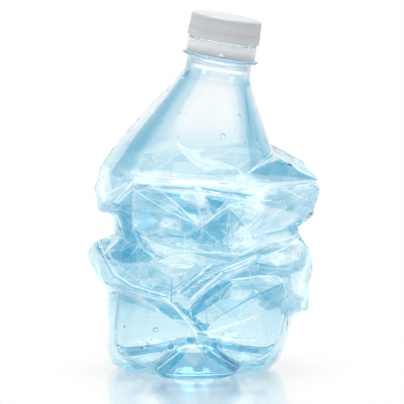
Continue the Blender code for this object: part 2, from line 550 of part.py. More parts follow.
def wall_at(point):
    """Wall thickness: thick at the neck and at the gate, thin everywhere else."""
    to_gate = (point - foot_centre(0.0)).length
    if to_gate < GATE_WALL_FADES:
        return WALL + (GATE_WALL - WALL) * (1 - to_gate / GATE_WALL_FADES)
    to_neck = (point - NECK_FOOT).length - NECK_RADIUS
    return WALL + (NECK_WALL - WALL) * max(0.0, 1 - to_neck / NECK_WALL_FADES)


def line_with_inner_wall(mesh):
    """Copies the outer surface inward by the wall; returns the copy of each vertex."""
    mesh.normal_update()
    outer_faces = list(mesh.faces)
    inner = {}
    for vert in list(mesh.verts):
        bend = max(LEAST_BEND, sum(vert.normal.dot(face.normal) for face in vert.link_faces)
                   / len(vert.link_faces))
        inner[vert] = mesh.verts.new(vert.co - vert.normal * wall_at(vert.co) / bend)
    for face in outer_faces:
        mesh.faces.new([inner[vert] for vert in reversed(face.verts)])
    return inner


def neck_finish(mesh, shoulder_top, shoulder_lining):
    """The turned neck, from the shoulder up over the mouth and down the bore."""
    outline = (
        (NECK_RADIUS, 2.6), (NECK_RADIUS, RING_BOTTOM - 0.2), (RING_RADIUS - 0.4, RING_BOTTOM),
        (RING_RADIUS, RING_BOTTOM + 0.3), (RING_RADIUS, RING_TOP - 0.3), (RING_RADIUS - 0.5, RING_TOP),
        (FINISH_RADIUS + 0.3, RING_TOP), (FINISH_RADIUS + 0.3, BEAD_BOTTOM - 0.5),
        (BEAD_RADIUS, BEAD_BOTTOM), (BEAD_RADIUS, BEAD_TOP - 0.8), (FINISH_RADIUS, BEAD_TOP),
        (FINISH_RADIUS, MOUTH_HEIGHT - 0.4), (FINISH_RADIUS - 0.4, MOUTH_HEIGHT),
        (BORE_RADIUS + 0.3, MOUTH_HEIGHT), (BORE_RADIUS, MOUTH_HEIGHT - 0.3),
        (BORE_RADIUS, RING_TOP), (BORE_RADIUS + 0.1, 4.0),
    )
    lower = shoulder_top
    for radius, height in outline:
        upper = add_ring(mesh, neck_ring(radius, height))
        bridge_even(mesh, upper, lower)
        lower = upper
    bridge_even(mesh, shoulder_lining, lower)


def finished_object(name, mesh, material):
    """Makes an object of the mesh: millimetres become metres, and all faces triangles."""
    bmesh.ops.scale(mesh, vec=(MM, MM, MM), verts=mesh.verts)
    bmesh.ops.triangulate(mesh, faces=mesh.faces)
    data = bpy.data.meshes.new(name)
    mesh.to_mesh(data)
    mesh.free()
    data.materials.append(material)
    data.shade_smooth()
    data.set_sharp_from_angle(angle=SHARP_EDGE)
    piece = bpy.data.objects.new(name, data)
    bpy.context.scene.collection.objects.link(piece)
    return piece


def make_bottle():
    mesh = bmesh.new()
    shoulder_top = body_wall(mesh)
    press_folds(mesh)
    inner = line_with_inner_wall(mesh)
    neck_finish(mesh, shoulder_top, [inner[vert] for vert in shoulder_top])
    bmesh.ops.translate(mesh, vec=(0.0, 0.0, -STANDING_HEIGHT), verts=mesh.verts)
    material = make_material("clear_blue_wall", (0.62, 0.85, 0.93), 0.05, 1.0)
    return finished_object("bottle", mesh, material)


def turned_piece(name, outline, sides, material, axis):
    """A piece turned round the neck's axis from a closed outline of (radius, height)."""
    mesh = bmesh.new()
    rings = [add_ring(mesh, [polar(radius, 360 * side / sides, height) for side in range(sides)])
             for radius, height in outline]
    for upper, lower in zip(rings, rings[1:] + rings[:1]):
        bridge_even(mesh, upper, lower)
    piece = finished_object(name, mesh, material)
    piece.parent = axis
    return piece


def make_tamper_band(axis):
    top = BAND_BOTTOM + BAND_HEIGHT
    inside = BAND_RADIUS - BAND_WALL
    outline = (
        (inside, top), (BAND_RADIUS - 0.15, top), (BAND_RADIUS, top - 0.2),
        (BAND_RADIUS, BAND_BOTTOM + 0.2), (BAND_RADIUS - 0.15, BAND_BOTTOM),
        (inside, BAND_BOTTOM), (BAND_LIP_RADIUS, BAND_BOTTOM + 1.7),
        (BAND_LIP_RADIUS, BAND_BOTTOM + 2.3), (inside, BAND_BOTTOM + 2.7),
    )
    material = make_material("ring_plastic", (0.80, 0.84, 0.86), 0.35, 0.4)
    return turned_piece("tamper_band", outline, CAP_SIDES, material, axis)


def cap_outline():
    """The hollow closure: grip skirt with a step, rounded shoulder and a barely domed top."""
    top = CAP_BOTTOM + CAP_HEIGHT
    ceiling = MOUTH_HEIGHT + 0.3
    outline = [(0.0, top - 0.05), (CAP_RADIUS - 4.0, top - 0.1)]
    for step in range(5):
        angle = math.radians(90 - 22.5 * step)
        outline.append((CAP_RADIUS - 0.3 - CAP_ROUNDING + CAP_ROUNDING * math.cos(angle),
                        top - 0.15 - CAP_ROUNDING + CAP_ROUNDING * math.sin(angle)))
    outline += [
        (CAP_RADIUS - 0.2, CAP_BOTTOM + CAP_STEP), (CAP_RADIUS, CAP_BOTTOM + CAP_STEP - 0.3),
        (CAP_RADIUS, CAP_BOTTOM + 0.2), (CAP_RADIUS - 0.2, CAP_BOTTOM),
        (CAP_BORE, CAP_BOTTOM), (CAP_BORE, ceiling - 0.6), (CAP_BORE - 0.6, ceiling),
        (0.0, ceiling),
    ]
    return outline


def make_cap(axis):
    outline = cap_outline()
    mesh = bmesh.new()
    rings = [add_ring(mesh, [polar(radius, 360 * side / CAP_SIDES, height)
                             for side in range(CAP_SIDES)]) for radius, height in outline[1:-1]]
    for upper, lower in zip(rings, rings[1:]):
        bridge_even(mesh, upper, lower)
    top = mesh.verts.new((0, 0, outline[0][1]))
    ceiling = mesh.verts.new((0, 0, outline[-1][1]))
    for side in range(CAP_SIDES):
        after = (side + 1) % CAP_SIDES
        mesh.faces.new((top, rings[0][side], rings[0][after]))
        mesh.faces.new((ceiling, rings[-1][after], rings[-1][side]))
    material = make_material("cap_plastic", (0.72, 0.75, 0.77), 0.4, 0.0)
    piece = finished_object("cap", mesh, material)
    piece.parent = axis
    return piece


def make_neck_axis():
    """An empty at the neck's foot, on its axis, that carries the turned pieces."""
    axis = bpy.data.objects.new("neck_axis", None)
    axis.location = (NECK_FOOT - Vector((0.0, 0.0, STANDING_HEIGHT))) * MM
    axis.rotation_euler = (0.0, NECK_LEAN, 0.0)
    bpy.context.scene.collection.objects.link(axis)
    return axis


def main():
    clear_scene()
    axis = make_neck_axis()
    make_bottle()
    make_tamper_band(axis)
    make_cap(axis)


main()
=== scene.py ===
import json
import math
import random

import bmesh
import bpy
import numpy as np
from bpy.props import FloatProperty, FloatVectorProperty, IntProperty, PointerProperty
from mathutils import Matrix, Vector, noise
from mathutils.bvhtree import BVHTree


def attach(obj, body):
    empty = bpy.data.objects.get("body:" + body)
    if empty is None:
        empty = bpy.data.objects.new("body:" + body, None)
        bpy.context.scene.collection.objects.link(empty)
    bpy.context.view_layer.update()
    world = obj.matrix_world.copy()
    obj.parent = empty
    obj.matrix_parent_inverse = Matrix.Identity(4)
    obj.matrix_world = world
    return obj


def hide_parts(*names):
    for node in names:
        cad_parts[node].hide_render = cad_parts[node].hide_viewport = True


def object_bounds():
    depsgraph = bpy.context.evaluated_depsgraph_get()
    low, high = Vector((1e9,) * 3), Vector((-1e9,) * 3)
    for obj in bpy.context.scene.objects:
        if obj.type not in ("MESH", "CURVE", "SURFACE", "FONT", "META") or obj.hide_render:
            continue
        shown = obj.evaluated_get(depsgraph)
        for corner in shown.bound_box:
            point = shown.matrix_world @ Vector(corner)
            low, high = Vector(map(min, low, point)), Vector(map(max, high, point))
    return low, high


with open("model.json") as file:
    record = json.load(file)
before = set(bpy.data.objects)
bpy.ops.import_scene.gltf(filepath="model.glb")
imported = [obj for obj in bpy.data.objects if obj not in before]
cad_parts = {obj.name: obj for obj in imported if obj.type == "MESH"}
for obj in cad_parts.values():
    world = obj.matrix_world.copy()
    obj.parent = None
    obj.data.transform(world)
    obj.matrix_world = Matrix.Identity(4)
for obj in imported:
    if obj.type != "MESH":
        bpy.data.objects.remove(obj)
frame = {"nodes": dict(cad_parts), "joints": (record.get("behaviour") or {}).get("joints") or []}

CAD_LOW, CAD_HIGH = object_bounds()
MM = 0.001

HEIGHT = CAD_HIGH.z - CAD_LOW.z

# The neck leans; its axis is the cap's slide.
NECK_AXIS = Vector(frame["joints"][0]["axis"]).normalized()
NECK_TURN = Vector((0, 0, 1)).rotation_difference(NECK_AXIS).to_matrix().to_4x4()

bl_info = {
    "name": "Crushed clear bottle",
    "version": (1, 0, 0),
    "blender": (4, 5, 0),
    "location": "View3D > Sidebar > Bottle",
    "description": "Dresses the crushed bottle: creased clear wall, closure, droplets and stage",
    "category": "Object",
}


# ---------------------------------------------------------------- settings

class WallSettings(bpy.types.PropertyGroup):
    tint: FloatVectorProperty(
        name="Tint", description="Colour that light takes in the thickness of the wall",
        subtype="COLOR", size=3, min=0.0, max=1.0, default=(0.10, 0.62, 0.84))
    tint_density: FloatProperty(
        name="Tint density", description="How fast the wall's thickness takes the tint",
        default=15.0, min=0.0)
    shoulder_colour: FloatVectorProperty(
        name="Shoulder colour", description="Colour of the smooth, thinly blown shoulder",
        subtype="COLOR", size=3, min=0.0, max=1.0, default=(0.985, 0.998, 1.0))
    body_colour: FloatVectorProperty(
        name="Body colour", description="Colour of the film from the crushed part down",
        subtype="COLOR", size=3, min=0.0, max=1.0, default=(0.81, 0.95, 0.99))
    # Painted shade: the film takes this colour in hollows, on facets that face down, in the dark
    # panels and along shaded creases, partly where it lies doubled.
    deep_shade_colour: FloatVectorProperty(
        name="Hollow colour", description="Colour of the film where it is pinched inwards",
        subtype="COLOR", size=3, min=0.0, max=1.0, default=(0.045, 0.46, 0.68))
    # Painted shade just inside the outline, partly the tint of film seen edge on.
    edge_shade_colour: FloatVectorProperty(
        name="Edge colour", description="Colour of the film where it is seen edge on",
        subtype="COLOR", size=3, min=0.0, max=1.0, default=(0.22, 0.55, 0.72))
    fold_depth: FloatProperty(
        name="Fold depth", description="Depth of the small folds between the main ones",
        default=0.3 * MM, unit="LENGTH", subtype="DISTANCE")
    fold_roughness: FloatProperty(
        name="Fold roughness", description="Roughness where the wall is creased white",
        default=0.30, min=0.0, max=1.0, subtype="FACTOR")


class ClosureSettings(bpy.types.PropertyGroup):
    cap_colour: FloatVectorProperty(
        name="Cap colour", description="Colour of the moulded cap",
        subtype="COLOR", size=3, min=0.0, max=1.0, default=(0.60, 0.615, 0.63))
    ring_colour: FloatVectorProperty(
        name="Ring colour", description="Colour of the half-clear tamper ring",
        subtype="COLOR", size=3, min=0.0, max=1.0, default=(0.80, 0.815, 0.83))
    grip_ribs: IntProperty(
        name="Grip ribs", description="Number of upright ribs round the skirt",
        default=120, min=24, max=160)
    rib_depth: FloatProperty(
        name="Rib depth", description="Depth of the grip between two ribs",
        default=0.16 * MM, unit="LENGTH", subtype="DISTANCE")


class DropletSettings(bpy.types.PropertyGroup):
    count: IntProperty(
        name="Scattered droplets", description="Number of small droplets scattered on the wall",
        default=110, min=0, max=400)
    smallest: FloatProperty(
        name="Smallest", description="Radius of the smallest droplet",
        default=0.25 * MM, unit="LENGTH", subtype="DISTANCE")
    largest: FloatProperty(
        name="Largest", description="Radius of the largest scattered droplet",
        default=0.80 * MM, unit="LENGTH", subtype="DISTANCE")
    seed: IntProperty(
        name="Seed", description="Another number scatters the droplets another way", default=7)


class StageSettings(bpy.types.PropertyGroup):
    elevation: FloatProperty(
        name="Camera elevation", description="Angle of the view above the horizon",
        default=math.radians(7.8), unit="ROTATION", subtype="ANGLE")
    distance: FloatProperty(
        name="Camera distance", description="From the camera to the bottle",
        default=1.5, unit="LENGTH", subtype="DISTANCE")
    view_width: FloatProperty(
        name="View width", description="Width that the picture covers at the bottle",
        default=0.1717, unit="LENGTH", subtype="DISTANCE")
    floor_colour: FloatVectorProperty(
        name="Floor colour", description="Colour of the glossy floor",
        subtype="COLOR", size=3, min=0.0, max=1.0, default=(0.93, 0.94, 0.95))


# ---------------------------------------------------------------- small helpers

def settings(name):
    return getattr(bpy.context.scene, name)


def new_piece(name, mesh_data, material):
    old = bpy.data.objects.get(name)
    if old is not None:
        bpy.data.objects.remove(old, do_unlink=True)
    mesh_data.materials.clear()
    mesh_data.materials.append(material)
    piece = bpy.data.objects.new(name, mesh_data)
    bpy.context.scene.collection.objects.link(piece)
    return piece


def mesh_from(bm, name, smooth_angle=None):
    data = bpy.data.meshes.new(name)
    bm.to_mesh(data)
    bm.free()
    data.shade_smooth()
    if smooth_angle is not None:
        data.set_sharp_from_angle(angle=smooth_angle)
    return data


def merged_copy(node):
    """The node's own mesh as a bmesh, with its loose triangles joined up."""
    bm = bmesh.new()
    bm.from_mesh(frame["nodes"][node].data)
    bmesh.ops.remove_doubles(bm, verts=bm.verts, dist=2e-6)
    return bm


def smoothstep(low, high, value):
    share = np.clip((value - low) / (high - low), 0.0, 1.0)
    return share * share * (3.0 - 2.0 * share)


# ---------------------------------------------------------------- materials

WHITE, BLACK = (1.0, 1.0, 1.0, 1.0), (0.0, 0.0, 0.0, 1.0)


def principled(name):
    material = bpy.data.materials.new(name)
    material.use_nodes = True
    return material, material.node_tree, material.node_tree.nodes["Principled BSDF"]


def feed(tree, node, inputs):
    """Sets each input of a node to a value, or links it to another node's output."""
    for name, value in inputs.items():
        if isinstance(value, bpy.types.NodeSocket):
            tree.links.new(value, node.inputs[name])
        else:
            node.inputs[name].default_value = value


def add(tree, kind, inputs=None, **options):
    """A new shader node with its options set, and its inputs set or linked."""
    node = tree.nodes.new("ShaderNode" + kind)
    for name, option in options.items():
        setattr(node, name, option)
    feed(tree, node, inputs or {})
    return node


def attribute(tree, name):
    return add(tree, "Attribute", attribute_name=name).outputs["Fac"]


def product(tree, one, other):
    return add(tree, "Math", {0: one, 1: other}, operation="MULTIPLY").outputs[0]


def larger(tree, one, other):
    return add(tree, "Math", {0: one, 1: other}, operation="MAXIMUM").outputs[0]


def spread(tree, value, low, high, least, most, **options):
    """The value, brought from the range low to high into the range least to most."""
    return add(tree, "MapRange", {"Value": value, "From Min": low, "From Max": high,
                                  "To Min": least, "To Max": most}, **options).outputs["Result"]


def blend(tree, share, one, other):
    return add(tree, "Mix", {"Factor": share, "A": one, "B": other},
               data_type="RGBA").outputs["Result"]


# Small facets of the crushed film: size, stretch and turn of their cells.
CELL_SIZE, CELL_STRETCH, CELL_TURN = 10 * MM, (0.8, 0.8, 1.5), (0.25, 0.35, 0.0)
# How much of the deep shade colour each group of painted shade panels takes.
PANEL_SHARES = (("faint_shade_panels", 0.30), ("shaded_panels", 0.60), ("dark_panels", 0.90))
# Painted highlight: a glow added where the film is stretched white, in its panels and along its
# creases.
PANEL_PAINTED_GLOW, LINE_PAINTED_GLOW = (0.19, 0.17, 0.15, 1.0), (0.24, 0.24, 0.23, 1.0)


def fold_group():
    """Colour with painted shade and painted highlights, roughness, painted glow and ripple of
    creased clear film, from the wall's attributes.
    """
    group = bpy.data.node_groups.new("creased film", "ShaderNodeTree")
    face = group.interface
    for name, kind, start in (("Shoulder Colour", "NodeSocketColor", (0.96, 0.99, 1.0, 1.0)),
                              ("Body Colour", "NodeSocketColor", (0.86, 0.96, 0.99, 1.0)),
                              ("Deep Shade Colour", "NodeSocketColor", (0.50, 0.83, 0.93, 1.0)),
                              ("Creased Roughness", "NodeSocketFloat", 0.3)):
        face.new_socket(name, in_out="INPUT", socket_type=kind).default_value = start
    for name, kind in (("Colour", "NodeSocketColor"), ("Roughness", "NodeSocketFloat"),
                       ("Painted Glow", "NodeSocketColor"), ("Ripple", "NodeSocketFloat")):
        face.new_socket(name, in_out="OUTPUT", socket_type=kind)
    given = group.nodes.new("NodeGroupInput").outputs
    shade_tone = given["Deep Shade Colour"]
    place = add(group, "TexCoord").outputs["Object"]

    def grain(scale, detail):
        return add(group, "TexNoise", {"Vector": place, "Scale": scale,
                                       "Detail": detail}).outputs["Fac"]

    def mask(name, low, high, least, most):
        return spread(group, attribute(group, name), low, high, least, most)

    def line(name, strength):
        """A crisp line from a field that is 0 in its middle and 1 at its edge."""
        return mask(name, 0.3, 1.3, strength, 0.0)

    turned = add(group, "Mapping", {"Vector": place, "Rotation": CELL_TURN,
                                    "Scale": CELL_STRETCH}).outputs["Vector"]
    cell, rim = (add(group, "TexVoronoi", {"Vector": turned, "Scale": 1.0 / CELL_SIZE},
                     feature=feature).outputs for feature in ("F1", "DISTANCE_TO_EDGE"))
    facet = spread(group, cell["Color"], 0.35, 0.8, 0.0, 0.28)
    border = spread(group, rim["Distance"], 0.010, 0.028, 0.55, 0.0)
    faceted = attribute(group, "faceted")
    broken = spread(group, grain(700.0, 3.0), 0.35, 0.65, 0.45, 1.0)
    uneven = spread(group, grain(60.0, 2.0), 0.3, 0.7, 0.75, 1.0)
    streaked = spread(group, grain(180.0, 4.0), 0.3, 0.7, 0.6, 1.0)

    colour = blend(group, attribute(group, "lower"),
                   given["Shoulder Colour"], given["Body Colour"])
    colour = blend(group, product(group, attribute(group, "deep_shade"), uneven), colour, shade_tone)
    colour = blend(group, product(group, facet, faceted), colour, shade_tone)
    # Painted highlight: the stretched clear panels are whitened, partly the real whitening of
    # stretched film, except where a dark panel lies.
    stretched_highlight = product(group, mask("stretched_highlight_panels", -0.5, 0.9, 0.0, 0.85), streaked)
    stretched_highlight = product(group, stretched_highlight, mask("dark_panels", -0.2, 0.2, 1.0, 0.0))
    colour = blend(group, stretched_highlight, colour, WHITE)
    # Painted shade: the dark, shaded and faint shade panels take the deep shade colour, partly for
    # film that lies doubled.
    for name, share in PANEL_SHARES:
        panel = product(group, mask(name, -0.2, 0.2, 0.0, share), streaked)
        colour = blend(group, panel, colour, shade_tone)
    # Painted shade along the inward creases and the drawn blue creases.
    for name, strength in (("valley_shade_line", 0.6), ("blue_shade_line", 0.7)):
        colour = blend(group, line(name, strength), colour, shade_tone)
    # Facet borders are whitened: partly stress whitening, partly a painted highlight.
    edges = product(group, product(group, border, faceted), broken)
    colour = blend(group, edges, colour, WHITE)
    # Painted highlight: drawn creases that catch the light are whitened and glow.
    painted_highlight = product(group, line("painted_highlight_line", 1.0), streaked)
    # White creases: partly the stress whitening of creased film, partly a painted highlight.
    whitened_and_highlit = product(group, attribute(group, "ridge"), broken)
    whitened_and_highlit = larger(group, larger(group, whitened_and_highlit, line("ridge_line", 0.7)), painted_highlight)
    # Painted glow in the stretched panels and along the highlighted creases, left off the lining.
    painted_glow = blend(group, painted_highlight, blend(group, stretched_highlight, BLACK, PANEL_PAINTED_GLOW), LINE_PAINTED_GLOW)
    feed(group, group.nodes.new("NodeGroupOutput"), {
        "Colour": blend(group, whitened_and_highlit, colour, WHITE),
        "Roughness": spread(group, whitened_and_highlit, 0.0, 1.0, 0.0, given["Creased Roughness"]),
        "Painted Glow": blend(group, attribute(group, "lining"), painted_glow, BLACK),
        "Ripple": grain(95.0, 2.0)})
    return group


# Painted shade just inside the outline, partly the tint of film seen edge on: (0 head on to 1 edge
# on, share of the edge shade colour).
EDGE_CURVE = ((0.18, 0.0), (0.32, 0.28), (0.45, 0.85), (0.52, 0.80), (0.62, 0.28), (0.74, 0.06))

# Painted glow where the crushed film is seen edge on, in place of light led along inside the film.
PAINTED_EDGE_GLOW = (0.05, 0.27, 0.38, 1.0)
# A painted glow on the closure's inside, in place of light through its wall, and the tone of its
# parts painted with shade.
PAINTED_INSIDE_GLOW, SHADED_PLASTIC = (0.60, 0.66, 0.69, 1.0), (0.30, 0.33, 0.36, 1.0)
# Painted shade on the rim of each droplet.
PAINTED_WATER_RIM = (0.02, 0.24, 0.40, 1.0)


def clear_wall_material():
    wall = settings("bottle_wall")
    material, tree, shader = principled("clear_blue_wall")
    film = add(tree, "Group", node_tree=fold_group())
    feed(tree, film, {"Creased Roughness": wall.fold_roughness,
                      "Shoulder Colour": (*wall.shoulder_colour, 1.0),
                      "Body Colour": (*wall.body_colour, 1.0),
                      "Deep Shade Colour": (*wall.deep_shade_colour, 1.0)})
    facing = add(tree, "LayerWeight", {"Blend": 0.5}).outputs["Facing"]
    rise = add(tree, "FloatCurve", {"Value": facing})
    curve = rise.mapping.curves[0]
    curve.points[0].location = (0.0, 0.0)
    curve.points[1].location = (1.0, 0.0)
    for place in EDGE_CURVE:
        curve.points.new(*place)
    edge_on = product(tree, rise.outputs["Value"], attribute(tree, "edge"))
    painted_glow_share = product(tree, spread(tree, facing, 0.78, 0.97, 0.0, 1.0),
                      attribute(tree, "crushed"))
    bump = add(tree, "Bump", {"Strength": 0.25, "Distance": 0.6 * MM,
                              "Height": film.outputs["Ripple"]})
    feed(tree, shader, {
        "Base Color": blend(tree, edge_on, film.outputs["Colour"], (*wall.edge_shade_colour, 1.0)),
        "Roughness": film.outputs["Roughness"],
        "Normal": bump.outputs["Normal"],
        "Emission Color": blend(tree, painted_glow_share, film.outputs["Painted Glow"], PAINTED_EDGE_GLOW),
        "Emission Strength": 1.0,
        "Transmission Weight": 1.0,
        "IOR": 1.55})
    depth = add(tree, "VolumeAbsorption", {"Color": (*wall.tint, 1.0),
                                           "Density": wall.tint_density})
    feed(tree, tree.nodes["Material Output"], {"Volume": depth.outputs["Volume"]})
    return material


def moulded_material(name, colour, roughness, see_through, grain):
    """Moulded closure plastic: soft mottling and fine grain. The piece's own attributes say where
    it is painted darker as shade, and where its inside is painted with a glow in place of the
    light that comes through its wall."""
    material, tree, shader = principled(name)
    place = add(tree, "TexCoord").outputs["Object"]
    mottle = add(tree, "TexNoise", {"Vector": place, "Scale": 140.0, "Detail": 4.0})
    tone = blend(tree, mottle.outputs["Fac"], (*[0.94 * part for part in colour], 1.0),
                 (*colour, 1.0))
    fine = add(tree, "TexNoise", {"Vector": place, "Scale": 2600.0})
    bump = add(tree, "Bump", {"Strength": grain, "Distance": 0.2 * MM,
                              "Height": fine.outputs["Fac"]})
    feed(tree, shader, {
        "Base Color": blend(tree, attribute(tree, "shade"), tone, SHADED_PLASTIC),
        "Normal": bump.outputs["Normal"],
        "Emission Color": blend(tree, attribute(tree, "inside"), BLACK, PAINTED_INSIDE_GLOW),
        "Emission Strength": 1.0,
        "Roughness": roughness,
        "IOR": 1.49,
        "Subsurface Weight": see_through,
        "Subsurface Radius": (1.0, 1.0, 1.0),
        "Subsurface Scale": 1.5 * MM})
    return material


def water_material():
    material, tree, shader = principled("water")
    facing = add(tree, "LayerWeight", {"Blend": 0.5}).outputs["Facing"]
    # Painted shade: each droplet's rim is darkened where it is seen edge on.
    rim = spread(tree, facing, 0.20, 0.60, 0.0, 1.0)
    feed(tree, shader, {"Base Color": blend(tree, rim, WHITE, PAINTED_WATER_RIM), "Roughness": 0.0,
                        "IOR": 1.33, "Transmission Weight": 1.0})
    return material


# ---------------------------------------------------------------- the clear wall

# Small folds that cross the wall: the direction each family steps along, its spacing in mm and
# its share of the depth.
FINE_FOLDS = (
    ((0.55, 0.20, 0.81), 17.0, 1.00),
    ((-0.70, 0.15, 0.70), 21.0, 1.00),
    ((0.15, -0.60, 0.79), 13.0, 0.60),
    ((0.90, 0.35, 0.25), 15.0, 0.55),
    ((-0.35, 0.85, 0.40), 19.0, 0.60),
    ((0.10, 0.25, 0.96), 9.0, 0.35),
    ((-0.80, -0.40, 0.45), 8.0, 0.28),
)
# Heights between which the wall is crushed, the fade at both ends, and the highest crease line.
CRUSHED_FROM, CRUSHED_TO, CRUSHED_FADE = 0.145 * HEIGHT, 0.60 * HEIGHT, 0.05 * HEIGHT
LINES_TO = 0.66 * HEIGHT
# In front of this depth the foot's mesh is as fine as the crushed part's, and it is finer still
# within the margin, in millimetres, of the front's creases.
FRONT_FROM, CREASE_MARGIN = -8.0 * MM, 0.9
# Triangles are joined up to these angles, and shading is sharp from this one, in degrees.
JOIN_TURN, JOIN_SKEW, SHARP_TURN = 10, 40, 50
# An edge keeps its crease from the first turn on, more over the span, up to the firmest share.
SOFT_TURN, TURN_SPAN, FIRMEST = 12.0, 50.0, 0.6
# The small folds drift off their straight sheets: how far, over what size, and the draw.
FOLD_DRIFT, DRIFT_SIZE, DRIFT_SEED = 5 * MM, 34 * MM, 1795382507
WALL_AXIS = Vector((-3.0 * MM, 0.0, 0.0))
LIP_REACH = 0.3 * MM
# The film's thickness, and how far below the mouth it ends, with its fade.
FILM, FINISH, FILM_FADE = 0.28 * MM, 17.2 * MM, 1.2 * MM
NECK_LENGTH, RIM_FROM = 24.0 * MM, 13.8 * MM
HOLLOW_ROUNDS = 14
TINT_FROM, TINT_TO = 0.55 * HEIGHT, 0.72 * HEIGHT
# Heights over which the facets end, the painted edge shade sets in, and the low shoulder gets more
# painted shade.
FACETS_END, EDGE_START = (86 * MM, 90 * MM), (88 * MM, 91 * MM)
SHOULDER_START, SHOULDER_END = (89 * MM, 90.5 * MM), (92 * MM, 108 * MM)
BASE_AXIS_X, BASE_TOP = -4.3 * MM, 15.5 * MM
GROOVES, FIRST_GROOVE = 5, 18.0
HUB_RADIUS, SPOT_RADIUS = 6.5 * MM, 9.0 * MM

